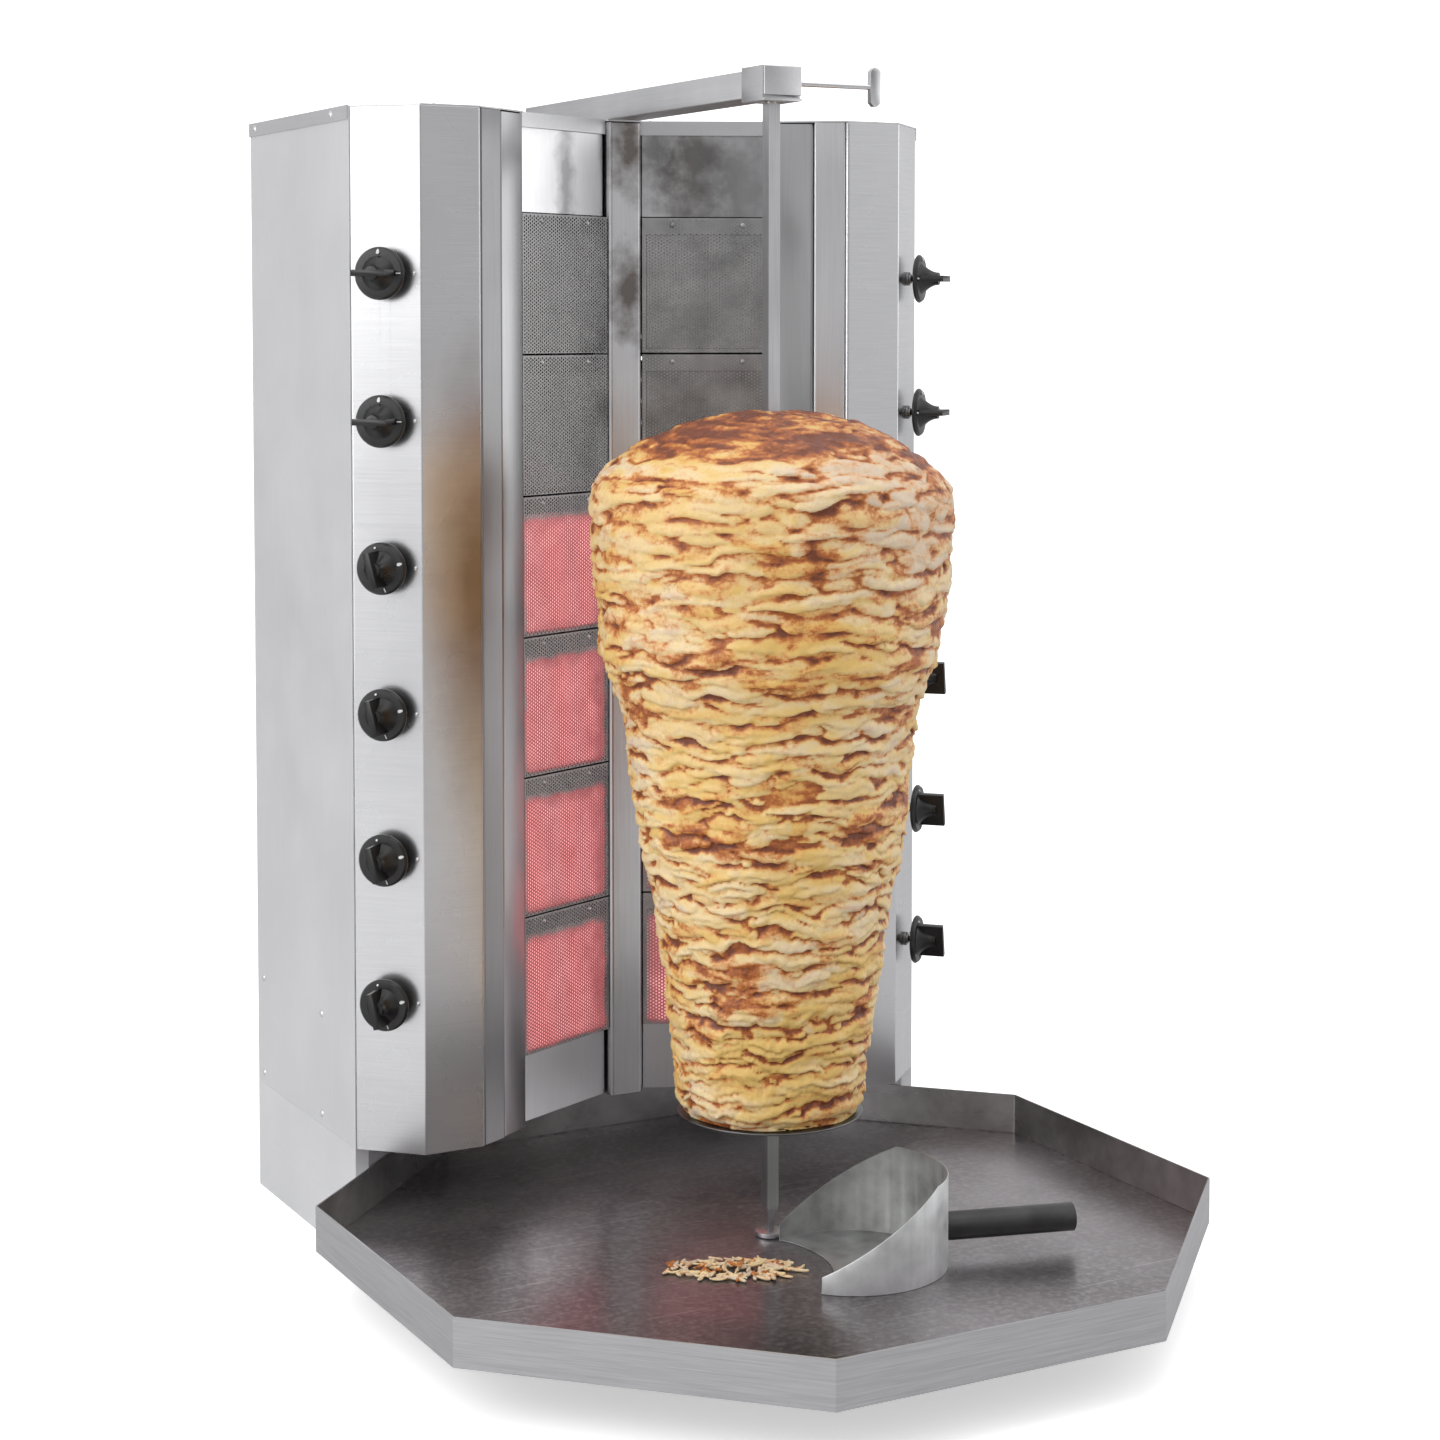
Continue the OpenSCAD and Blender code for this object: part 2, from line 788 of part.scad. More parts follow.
module scoop_pan() {
    back_flat = scoop_r * cos(45);
    side = [[-scoop_mouth, 0], [2 * scoop_r, 0], [2 * scoop_r, scoop_h],
            [back_flat, scoop_h], [-scoop_mouth, scoop_lip]];
    color("darkgray") at_spit() at_scoop() intersection() {
        difference() {
            cylinder(r = scoop_r, h = scoop_h, $fn = 96);
            translate([0, 0, scoop_t])
                cylinder(r = scoop_r - scoop_t, h = scoop_h, $fn = 96);
            translate([scoop_bite - scoop_mouth - scoop_bite_r, 0, -1])
                intersection() {
                    cylinder(r = scoop_bite_r, h = scoop_t + 2, $fn = 96);
                    translate([0, -70, 0]) cube([scoop_bite_r, 140, scoop_t + 2]);
                }
            translate([scoop_r - 5, 0, handle_z]) rotate([0, 90, 0]) cylinder(r = 3, h = 10);
        }
        translate([0, scoop_r, 0]) rotate([90, 0, 0])
            linear_extrude(2 * scoop_r) polygon(side);
    }
}

module scoop_handle() {
    r = scoop_handle_d / 2;
    color("black") at_spit() at_scoop() union() {
        translate([scoop_r + touch, 0, handle_z]) rotate([0, 90, 0])
            cylinder(r = r, h = handle_end - scoop_r - touch);
        translate([scoop_r - 6, 0, handle_z]) rotate([0, 90, 0]) cylinder(r = 2.9, h = 10);
    }
}

module meat_trimmings() {
    steps = 24;
    color("sandybrown") at_spit() translate([pile_at[0], pile_at[1], tray_floor])
        rotate([0, 0, pile_turn]) linear_extrude(pile_h)
        polygon([for (k = [0 : steps - 1])
            [pile_half[0] * cos(360 * k / steps), pile_half[1] * sin(360 * k / steps)]]);
}

// ---- knobs ----

// Z along the spindle, with the panel's face at z = 0 and the grip along X when off
module knob(turn) {
    r = knob_d / 2;
    grip = [34, 6];
    hub_r = 6.5;
    skirt_t = 5;
    cone_h = knob_h - 8;
    cone_steps = 6;
    cone = [for (k = [0 : cone_steps])
        let (w = k / cone_steps)
        [hub_r + (r * 0.66 - hub_r) * pow(1 - w, 2), skirt_t + (cone_h - skirt_t) * w]];
    rotate([0, 0, turn]) translate([0, 0, knob_gap]) union() {
        rotate_extrude() polygon(concat(
            [[0, 0], [r - 1, 0], [r, 1], [r, 2.4], [r - 2, skirt_t]], cone, [[0, cone_h]]));
        translate([-grip[0] / 2, -grip[1] / 2, 3]) cube([grip[0], grip[1], knob_h - 3]);
        translate([0, 0, -knob_gap - 10]) cylinder(r = spindle_r, h = knob_gap + 12);
    }
}

function knob_turn(i) = i < 2 ? 0 : -lit_turn;

module left_knob(i) {
    color("black") at_spit() on_knob_panel(-1, knob_z(i)) knob(knob_turn(i));
}

module right_knob(i) {
    color("black") at_spit() on_knob_panel(1, knob_z(i)) knob(knob_turn(i));
}

base_plinth();
drive_housing();
rubber_feet();
tray();
left_side_panel();
right_side_panel();
back_panel();
left_front_panel();
right_front_panel();
left_reveal_strip();
right_reveal_strip();
left_trim_channel();
right_trim_channel();
center_post();
lid();
bottom_plate();
left_burner_panel();
right_burner_panel();
left_burner_frames();
right_burner_frames();
left_mesh_screens();
right_mesh_screens();
left_ceramic_plaques();
right_ceramic_plaques();
left_burner_boxes();
right_burner_boxes();
left_gas_manifold();
right_gas_manifold();
gas_valves();
gas_inlet();
support_arm();
arm_end_block();
arm_end_cap();
spit_bush();
arm_bolts();
dome_screws();
index_pins();
burner_rivets();
gearmotor();
cable_gland();
spit_rod();
meat_plate();
meat_cone();
drive_socket();
lock_pin();
scoop_pan();
scoop_handle();
meat_trimmings();
left_knob(0);  // left_knob_1
left_knob(1);  // left_knob_2
left_knob(2);  // left_knob_3
left_knob(3);  // left_knob_4
left_knob(4);  // left_knob_5
left_knob(5);  // left_knob_6
right_knob(0);  // right_knob_1
right_knob(1);  // right_knob_2
right_knob(2);  // right_knob_3
right_knob(3);  // right_knob_4
right_knob(4);  // right_knob_5
right_knob(5);  // right_knob_6
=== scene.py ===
"""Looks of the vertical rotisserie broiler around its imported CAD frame. Metres unless said otherwise."""

import math

import bpy
import numpy as np
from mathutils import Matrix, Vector


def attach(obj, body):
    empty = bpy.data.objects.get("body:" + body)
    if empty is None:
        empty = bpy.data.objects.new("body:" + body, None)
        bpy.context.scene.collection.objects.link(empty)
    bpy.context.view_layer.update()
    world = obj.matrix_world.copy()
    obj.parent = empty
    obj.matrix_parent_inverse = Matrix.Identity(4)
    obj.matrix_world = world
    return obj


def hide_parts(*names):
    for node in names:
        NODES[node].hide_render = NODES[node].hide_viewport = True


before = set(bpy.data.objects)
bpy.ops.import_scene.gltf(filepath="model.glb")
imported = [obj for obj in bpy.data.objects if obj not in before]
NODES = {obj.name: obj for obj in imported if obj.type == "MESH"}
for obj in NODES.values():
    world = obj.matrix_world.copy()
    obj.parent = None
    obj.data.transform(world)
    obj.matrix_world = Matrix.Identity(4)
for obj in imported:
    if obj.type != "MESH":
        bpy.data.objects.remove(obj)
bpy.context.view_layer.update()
MM = 0.001

# ---------------------------------------------------------------- camera, lights, floor

scene = bpy.context.scene
scene.view_settings.view_transform = "Standard"
scene.view_settings.look = "None"

camera_data = bpy.data.cameras.new("camera")
camera_data.lens = 68.71
camera_data.sensor_width = 36.0
camera_data.shift_x = 0.0113
camera_data.shift_y = -0.165
camera_data.clip_end = 60.0
camera = bpy.data.objects.new("camera", camera_data)
scene.collection.objects.link(camera)
camera.location = (-1.2578, -2.2919, 0.9034)
camera.rotation_euler = (math.radians(90 - 3.208), 0.0, math.radians(-28.232))
scene.camera = camera


def softbox(name, place, aim, width, height, power):
    """A rectangular studio lamp at place that points at aim."""
    data = bpy.data.lights.new(name, "AREA")
    data.shape = "RECTANGLE"
    data.size = width
    data.size_y = height
    data.energy = power
    lamp = bpy.data.objects.new(name, data)
    scene.collection.objects.link(lamp)
    lamp.location = place
    lamp.rotation_euler = (Vector(aim) - Vector(place)).to_track_quat("-Z", "Y").to_euler()


middle = Vector((0.0, 0.0, 0.6))
softbox("left_softbox", (-2.9, 0.0, 1.35), middle, 1.3, 2.3, 16.0)
softbox("left_floor_light", (-1.8, -0.7, 1.25), (-1.8, -0.7, 0.0), 1.6, 1.6, 13.0)
softbox("right_softbox", (2.6, -0.75, 1.3), middle, 1.1, 2.3, 8.0)
softbox("top_softbox", (0.0, -0.3, 3.4), middle, 3.0, 3.0, 22.0)
softbox("front_softbox", (-1.6, -3.4, 2.6), middle, 1.6, 1.2, 6.0)


# Brightness of the studio by direction: degrees from straight ahead of the machine, to its right
STUDIO = ((-180, 0.7), (-150, 0.7), (-105, 1.0), (-84, 1.32), (-56, 1.3), (-44, 0.55), (-34, 0.46),
          (-22, 0.27), (4, 0.3), (16, 0.42), (24, 0.5), (32, 0.75), (42, 1.0), (55, 1.45), (82, 1.45),
          (89, 0.6), (108, 0.58), (118, 0.85), (150, 0.72), (180, 0.7))
STUDIO_STRENGTH = 1.6


def make_world():
    """A studio with bright walls to the left and right and a dark front; the camera sees it white."""
    world = bpy.data.worlds.new("studio")
    world.use_nodes = True
    scene.world = world
    tree = world.node_tree
    tree.nodes.clear()

    def node(kind, operation=None):
        made = tree.nodes.new(kind)
        if operation:
            made.operation = operation
        return made

    def wire(start, end):
        tree.links.new(start, end)

    out = node("ShaderNodeOutputWorld")
    back = node("ShaderNodeBackground")
    wire(back.outputs[0], out.inputs[0])
    split = node("ShaderNodeSeparateXYZ")
    wire(node("ShaderNodeTexCoord").outputs["Generated"], split.inputs[0])
    ahead = node("ShaderNodeMath", "MULTIPLY")
    wire(split.outputs["Y"], ahead.inputs[0])
    ahead.inputs[1].default_value = -1.0
    angle = node("ShaderNodeMath", "ARCTAN2")
    wire(split.outputs["X"], angle.inputs[0])
    wire(ahead.outputs[0], angle.inputs[1])
    turn = node("ShaderNodeMath", "MULTIPLY_ADD")
    wire(angle.outputs[0], turn.inputs[0])
    turn.inputs[1].default_value = 0.5 / math.pi
    turn.inputs[2].default_value = 0.5
    ramp = node("ShaderNodeValToRGB")
    wire(turn.outputs[0], ramp.inputs[0])
    while len(ramp.color_ramp.elements) < len(STUDIO):
        ramp.color_ramp.elements.new(1.0)
    for element, (degrees, level) in zip(ramp.color_ramp.elements, STUDIO):
        element.position = degrees / 360 + 0.5
        level /= STUDIO_STRENGTH
        element.color = (level, level, level * 1.01, 1.0)
    high = node("ShaderNodeMapRange")
    wire(split.outputs["Z"], high.inputs["Value"])
    high.inputs["From Min"].default_value = 0.25
    high.inputs["From Max"].default_value = 0.8
    sky = node("ShaderNodeMix")
    sky.data_type = "RGBA"
    wire(high.outputs[0], sky.inputs["Factor"])
    wire(ramp.outputs[0], sky.inputs["A"])
    sky.inputs["B"].default_value = (0.6, 0.6, 0.605, 1.0)
    path = node("ShaderNodeLightPath")
    pick = node("ShaderNodeMix")
    pick.data_type = "RGBA"
    wire(path.outputs["Is Camera Ray"], pick.inputs["Factor"])
    wire(sky.outputs["Result"], pick.inputs["A"])
    pick.inputs["B"].default_value = (1.0, 1.0, 1.0, 1.0)
    wire(pick.outputs["Result"], back.inputs["Color"])
    back.inputs["Strength"].default_value = STUDIO_STRENGTH


make_world()

# ---------------------------------------------------------------- material helpers


class Shade:
    """One procedural material. Its patterns follow Object coordinates and values stored on points."""

    def __init__(self, name, colour=(0.5, 0.5, 0.5), metallic=0.0, roughness=0.5):
        self.material = bpy.data.materials.new(name)
        self.material.use_nodes = True
        self.tree = self.material.node_tree
        self.tree.nodes.clear()
        out = self.node("ShaderNodeOutputMaterial")
        self.bsdf = self.node("ShaderNodeBsdfPrincipled")
        self.tree.links.new(self.bsdf.outputs[0], out.inputs[0])
        self.coords = self.node("ShaderNodeTexCoord").outputs["Object"]
        self.set("Base Color", (*colour, 1.0))
        self.set("Metallic", metallic)
        self.set("Roughness", roughness)
        self.last_normal = None

    def node(self, kind, **settings):
        made = self.tree.nodes.new(kind)
        for key, value in settings.items():
            setattr(made, key, value)
        return made

    def set(self, socket, value):
        """Gives a socket of the shader a fixed value, or links it if value is a socket."""
        self.feed(self.bsdf.inputs[socket], value)

    def feed(self, socket, value):
        if isinstance(value, bpy.types.NodeSocket):
            self.tree.links.new(value, socket)
        else:
            socket.default_value = value

    def stretched(self, stretch):
        mapping = self.node("ShaderNodeMapping")
        self.tree.links.new(self.coords, mapping.inputs["Vector"])
        mapping.inputs["Scale"].default_value = stretch
        return mapping.outputs[0]

    def noise(self, scale, detail=3.0, rough=0.5, stretch=(1, 1, 1), twist=0.0):
        """Noise from 0 to 1 whose features are about 1/scale metres, squeezed along each axis."""
        made = self.node("ShaderNodeTexNoise")
        self.tree.links.new(self.stretched(stretch), made.inputs["Vector"])
        made.inputs["Scale"].default_value = scale
        made.inputs["Detail"].default_value = detail
        made.inputs["Roughness"].default_value = rough
        made.inputs["Distortion"].default_value = twist
        return made.outputs[0]

    def cells(self, scale):
        """Distance from the nearest of many scattered points, about 1/scale metres apart."""
        made = self.node("ShaderNodeTexVoronoi")
        self.tree.links.new(self.stretched((1, 1, 1)), made.inputs["Vector"])
        made.inputs["Scale"].default_value = scale
        return made.outputs["Distance"]

    def axis(self, letter):
        split = self.node("ShaderNodeSeparateXYZ")
        self.tree.links.new(self.coords, split.inputs[0])
        return split.outputs[letter]

    def attribute(self, name):
        """The number that add_values stored under that name."""
        return self.node("ShaderNodeAttribute", attribute_name=name).outputs["Fac"]

    def span(self, value, low, high, to_low=0.0, to_high=1.0):
        """Maps a value's range low..high to to_low..to_high, and clamps it."""
        made = self.node("ShaderNodeMapRange")
        self.feed(made.inputs["Value"], value)
        made.inputs["From Min"].default_value = low
        made.inputs["From Max"].default_value = high
        made.inputs["To Min"].default_value = to_low
        made.inputs["To Max"].default_value = to_high
        return made.outputs[0]

    def maths(self, operation, a, b=0.0):
        made = self.node("ShaderNodeMath", operation=operation)
        self.feed(made.inputs[0], a)
        self.feed(made.inputs[1], b)
        return made.outputs[0]

    def blend(self, factor, a, b, how="MIX"):
        made = self.node("ShaderNodeMix", data_type="RGBA", blend_type=how)
        self.feed(made.inputs["Factor"], factor)
        for socket, value in (("A", a), ("B", b)):
            if isinstance(value, tuple) and len(value) == 3:
                value = (*value, 1.0)
            self.feed(made.inputs[socket], value)
        return made.outputs["Result"]

    def ramp(self, factor, *stops):
        """A colour ramp: each stop is (position, (r, g, b))."""
        made = self.node("ShaderNodeValToRGB")
        self.feed(made.inputs[0], factor)
        while len(made.color_ramp.elements) < len(stops):
            made.color_ramp.elements.new(0.5)
        for element, (position, colour) in zip(made.color_ramp.elements, stops):
            element.position = position
            element.color = (*colour, 1.0)
        return made.outputs[0]

    def bump(self, height, distance, strength=1.0):
        """Adds relief on top of any relief given before; distance is in metres."""
        made = self.node("ShaderNodeBump")
        self.feed(made.inputs["Height"], height)
        made.inputs["Distance"].default_value = distance
        made.inputs["Strength"].default_value = strength
        if self.last_normal is not None:
            self.tree.links.new(self.last_normal, made.inputs["Normal"])
        self.last_normal = made.outputs[0]
        self.set("Normal", self.last_normal)


def make_floor():
    """A pale studio floor. It looks white, and sends less light to the machine than white would."""
    half = 30.0
    mesh = bpy.data.meshes.new("studio_floor")
    mesh.from_pydata([(-half, -half, 0.0), (half, -half, 0.0), (half, half, 0.0), (-half, half, 0.0)], [],
                     [(0, 1, 2, 3)])
    floor = bpy.data.objects.new("studio_floor", mesh)
    scene.collection.objects.link(floor)
    shade = Shade("studio_floor", (0.93, 0.93, 0.935), 0.0, 0.8)
    seen = shade.node("ShaderNodeLightPath").outputs["Is Camera Ray"]
    shade.set("Base Color", shade.blend(seen, (0.58, 0.58, 0.585), (0.93, 0.93, 0.935)))
    shade.set("Emission Color", (1.0, 1.0, 1.0, 1.0))
    shade.set("Emission Strength", shade.maths("MULTIPLY", seen, 0.5))
    mesh.materials.append(shade.material)


make_floor()

# Brush lines: how far noise is squeezed along x, y and z for each direction
BRUSH = {"across": (16, 16, 900), "up": (700, 700, 12), "back": (700, 14, 700), "none": (60, 60, 60)}


def steel(name, tone, rough, brush="across", grain=0.05, cloud=0.05, relief=0.00001):
    """Sheet steel with brush lines, faint clouds and smudges."""
    shade = Shade(name, metallic=1.0)
    lines = shade.noise(1.0, 4.0, 0.6, BRUSH[brush])
    clouds = shade.noise(6.0, 4.0, 0.6)
    level = shade.maths("ADD", shade.span(lines, 0.25, 0.75, 0.5 - grain, 0.5 + grain),
                        shade.span(clouds, 0.3, 0.7, -cloud, cloud))
    shade.colour = shade.ramp(level, (0.0, (tone * 0.4, tone * 0.4, tone * 0.41)),
                              (1.0, (tone * 1.6, tone * 1.6, tone * 1.62)))
    shade.set("Base Color", shade.colour)
    smudge = shade.noise(11.0, 3.0, 0.5)
    shade.set("Roughness", shade.span(smudge, 0.3, 0.7, rough * 0.92, rough * 1.1))
    shade.bump(lines, relief)
    return shade


def stain_or_painted_reflection(shade, place, size, colour, strength=0.8, stretch=(1, 1, 1), ragged=0.35):
    """Adds a soft patch of another colour to a material, centred on place, in metres: stains, and one
    painted reflection.
    """
    centre = shade.node("ShaderNodeVectorMath", operation="SUBTRACT")
    shade.tree.links.new(shade.coords, centre.inputs[0])
    centre.inputs[1].default_value = place
    scaled = shade.node("ShaderNodeVectorMath", operation="MULTIPLY")
    shade.tree.links.new(centre.outputs[0], scaled.inputs[0])
    scaled.inputs[1].default_value = stretch
    length = shade.node("ShaderNodeVectorMath", operation="LENGTH")
    shade.tree.links.new(scaled.outputs[0], length.inputs[0])
    edge = shade.maths("ADD", length.outputs["Value"],
                       shade.span(shade.noise(38.0, 5.0, 0.6), 0.3, 0.7, -ragged * size, ragged * size))
    patch = shade.span(edge, 0.15 * size, size, strength, 0.0)
    shade.colour = shade.blend(patch, shade.colour, colour)
    shade.set("Base Color", shade.colour)


def facing_out(shade, centre):
    """1 where an upright surface faces away from the upright line through centre, else 0."""
    away = shade.node("ShaderNodeVectorMath", operation="SUBTRACT")
    shade.tree.links.new(shade.coords, away.inputs[0])
    away.inputs[1].default_value = centre
    level = shade.node("ShaderNodeVectorMath", operation="MULTIPLY")
    shade.tree.links.new(away.outputs[0], level.inputs[0])
    level.inputs[1].default_value = (1.0, 1.0, 0.0)
    facing = shade.node("ShaderNodeVectorMath", operation="DOT_PRODUCT")
    shade.tree.links.new(shade.node("ShaderNodeNewGeometry").outputs["Normal"], facing.inputs[0])
    shade.tree.links.new(level.outputs[0], facing.inputs[1])
    return shade.span(facing.outputs["Value"], 0.02, 0.05)


def paint(shade, *names):
    """Gives CAD nodes their material."""
    for name in names:
        NODES[name].data.materials.clear()
        NODES[name].data.materials.append(shade.material)


def soften(width, *names, angle=30, segments=2, smooth=True):
    """Rounds the sharp edges of CAD nodes a little, so that they catch the light."""
    for name in names:
        piece = NODES[name]
        weld = piece.modifiers.new("weld", "WELD")
        weld.merge_threshold = 0.00002
        bevel = piece.modifiers.new("bevel", "BEVEL")
        bevel.width = width
        bevel.segments = segments
        bevel.limit_method = "ANGLE"
        bevel.angle_limit = math.radians(angle)
        bevel.harden_normals = smooth
        piece.data.polygons.foreach_set("use_smooth", [smooth] * len(piece.data.polygons))


def scalar_blend(shade, factor, a, b):
    """Mixes two numbers."""
    made = shade.node("ShaderNodeMix", data_type="FLOAT")
    shade.feed(made.inputs["Factor"], factor)
    shade.feed(made.inputs["A"], a)
    shade.feed(made.inputs["B"], b)
    return made.outputs["Result"]


def make_piece(name, points, faces, shade, body, stands_for=()):
    """A new visible piece from points in metres and faces, riding on a CAD body."""
    mesh = bpy.data.meshes.new(name)
    mesh.from_pydata([tuple(p) for p in points], [], [tuple(f) for f in faces])
    mesh.update()
    piece = bpy.data.objects.new(name, mesh)
    scene.collection.objects.link(piece)
    mesh.materials.append(shade.material)
    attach(piece, body)
    if stands_for:
        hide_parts(*stands_for)
    return piece


def add_values(piece, name, values):
    """Stores one number per point, for the material to read."""
    layer = piece.data.attributes.new(name, "FLOAT", "POINT")
    layer.data.foreach_set("value", np.asarray(values, dtype=np.float32).ravel())


def grid_faces(rows, columns, closed=True):
    """Quads between neighbouring points of a grid, joined round along its columns if closed."""
    across = np.arange(columns if closed else columns - 1)
    up = np.arange(rows - 1)[:, None]
    a = up * columns + across
    b = up * columns + (across + 1) % columns
    return np.stack([a, b, b + columns, a + columns], axis=-1).reshape(-1, 4)


# ---------------------------------------------------------------- places taken from the CAD part

SPIT_Y = -0.0808
COLUMN_CORNER = (0.136, 0.253 + SPIT_Y)
COLUMN_TURN = math.radians(25.5)
COLUMN_LAP = 7.5 * MM
BURNER_LOW = 0.181
BURNER_PITCH = 139.333 * MM
BURNER_WIDTH = 133.2 * MM
BURNER_HEIGHT = 137.333 * MM
STRIP = 17 * MM
SCREEN_OUT = 6 * MM
LIT_BURNERS = 4
BURNERS = 6
KNOB_HIGH = 0.955
KNOB_PLACE = (0.29140, 0.2257 + SPIT_Y)
TRAY_FLOOR = 51.5 * MM
PANEL_FRONT = 0.2004 + SPIT_Y


def in_column(side, along, depth, up):
    """A point in a burner column's own frame: along it, into the cabinet and up. side is -1 or 1."""
    c = math.cos(COLUMN_TURN)
    s = math.sin(COLUMN_TURN)
    x = -COLUMN_CORNER[0] + along * c - depth * s
    y = COLUMN_CORNER[1] + along * s + depth * c
    return (-side * x, y, up)


def on_knob_panel(side, across, up, out, high):
    """A point in a knob's frame: to the right as seen from outside, up, and out of the panel."""
    normal = Vector((side * 0.6964, -0.7177, 0.0))
    right = Vector((-normal.y, normal.x, 0.0))
    base = Vector((side * KNOB_PLACE[0], KNOB_PLACE[1], high))
    return base + right * across + normal * out + Vector((0.0, 0.0, up))


# ---------------------------------------------------------------- sheet metal and fasteners

side_steel = steel("side_steel", 0.76, 0.5, "up", 0.02, 0.02, 0.000002)
front_steel = steel("front_steel", 0.66, 0.27, "across", 0.05, 0.02, 0.000006)
trim_steel = steel("trim_steel", 0.58, 0.3, "up", 0.05, 0.04, 0.000006)
post_steel = steel("post_steel", 0.62, 0.3, "up", 0.06, 0.06, 0.000006)
blank_steel = steel("blank_steel", 0.66, 0.3, "up", 0.04, 0.06, 0.000006)
lid_steel = steel("lid_steel", 0.62, 0.38, "back", 0.04, 0.05, 0.000006)
arm_steel = steel("arm_steel", 0.6, 0.4, "back", 0.05, 0.08, 0.000006)
plinth_steel = steel("plinth_steel", 0.8, 0.5, "across", 0.02, 0.03, 0.000002)
bright_steel = steel("bright_steel", 0.7, 0.22, "none", 0.05, 0.05, 0.000002)
frame_steel = steel("frame_steel", 0.42, 0.42, "none", 0.2, 0.25, 0.00002)
zinc = steel("zinc", 0.42, 0.5, "none", 0.12, 0.16, 0.00001)
spit_steel = steel("spit_steel", 0.55, 0.32, "up", 0.1, 0.12, 0.00001)
plate_steel = steel("plate_steel", 0.2, 0.35, "none", 0.2, 0.2, 0.00002)
motor_steel = steel("motor_steel", 0.3, 0.5, "none", 0.1, 0.1, 0.00002)
brass = Shade("brass", metallic=1.0, roughness=0.35)
brass.set("Base Color", brass.ramp(brass.noise(90.0, 4.0),
                                   (0.3, (0.55, 0.36, 0.13)), (0.7, (0.78, 0.56, 0.25))))
pipe = Shade("pipe", metallic=1.0, roughness=0.4)
pipe.set("Base Color", pipe.ramp(pipe.noise(60.0, 4.0), (0.3, (0.4, 0.22, 0.12)), (0.7, (0.72, 0.43, 0.28))))

collar_steel = steel("collar_steel", 0.2, 0.35, "none", 0.1, 0.1, 0.00001)
reveal_steel = steel("reveal_steel", 0.58, 0.3, "up", 0.05, 0.04, 0.000006)
# A lighter copy of the reveal steel, used for the right reveal strip only: painted light on the same sheet
# as the left strip.
lit_reveal_steel = steel("lit_reveal_steel", 0.78, 0.3, "up", 0.05, 0.04, 0.000006)


def paint_light_by_height(shade, low, high, low_level, high_level):
    """Painted light and shade: a sheet's brightness changes from one height to another."""
    level = shade.span(shade.axis("Z"), low, high, low_level, high_level)
    shade.colour = shade.blend(1.0, shade.colour, level, "MULTIPLY")
    shade.set("Base Color", shade.colour)


# Painted shade and reflection: the left reveal strip grows darker towards the top; the trim channels are
# lighter low down and darker higher up.
paint_light_by_height(reveal_steel, 0.5, 0.95, 0.64, 0.42)
paint_light_by_height(trim_steel, 0.3, 0.62, 1.4, 0.55)
# A soft brown patch on the left front panel: a painted reflection of the meat.
stain_or_painted_reflection(front_steel, (-0.21, PANEL_FRONT, 0.66), 0.058, (0.2, 0.15, 0.125), 0.8, (1.0, 1.0, 0.22), 0.06)
post_front = SPIT_Y + 0.3
for height in (1.085, 0.935):
    stain_or_painted_reflection(post_steel, (0.004, post_front, height), 0.05, (0.1, 0.075, 0.06), 0.85, (1.6, 1, 0.8))
stain_or_painted_reflection(blank_steel, in_column(-1, 0.066, 0.0, 1.03), 0.02, (0.3, 0.3, 0.31), 0.9, (1.0, 1.0, 0.1))
stain_or_painted_reflection(blank_steel, in_column(1, 0.075, 0.0, 1.07), 0.06, (0.17, 0.145, 0.13), 0.8, (1.2, 1.2, 0.6))
stain_or_painted_reflection(blank_steel, in_column(1, 0.03, 0.0, 1.05), 0.075, (0.2, 0.2, 0.2), 0.6, (1.0, 1.0, 0.5))
stain_or_painted_reflection(blank_steel, in_column(1, 0.115, 0.0, 1.09), 0.04, (0.14, 0.14, 0.14), 0.6, (1.0, 1.0, 0.5))

paint(side_steel, "left_side_panel", "right_side_panel", "back_panel")
paint(front_steel, "left_front_panel", "right_front_panel")
paint(reveal_steel, "left_reveal_strip")
paint(lit_reveal_steel, "right_reveal_strip")
paint(trim_steel, "left_trim_channel", "right_trim_channel")
paint(post_steel, "center_post")
paint(blank_steel, "left_burner_panel", "right_burner_panel")
paint(lid_steel, "lid")
paint(plinth_steel, "base_plinth")
paint(arm_steel, "support_arm", "arm_end_block", "arm_end_cap")
paint(zinc, "drive_housing", "bottom_plate", "left_burner_boxes", "right_burner_boxes")
paint(frame_steel, "left_burner_frames", "right_burner_frames", "burner_rivets")
paint(spit_steel, "spit_rod", "drive_socket")
paint(bright_steel, "lock_pin", "arm_bolts", "dome_screws", "index_pins")
paint(plate_steel, "meat_plate")
paint(motor_steel, "gearmotor")
paint(collar_steel, "gas_valves")
paint(brass, "gas_inlet", "spit_bush")
paint(pipe, "left_gas_manifold", "right_gas_manifold")

soften(0.5 * MM, "left_side_panel", "right_side_panel", "back_panel", "left_front_panel",
       "right_front_panel", "left_reveal_strip", "right_reveal_strip", "center_post", "lid",
       "left_burner_panel", "right_burner_panel", "base_plinth", "left_burner_frames",
       "right_burner_frames", smooth=False)
soften(0.5 * MM, "left_trim_channel", "right_trim_channel", "scoop_pan", "meat_plate")
soften(1.2 * MM, "arm_end_cap", "arm_end_block", "support_arm", "lock_pin")
soften(0.8 * MM, "spit_rod", smooth=False)
soften(0.4 * MM, "arm_bolts", "dome_screws", "index_pins", "burner_rivets", "drive_socket", "gas_inlet",
       "cable_gland", "gas_valves", "drive_housing", "rubber_feet", "gearmotor")

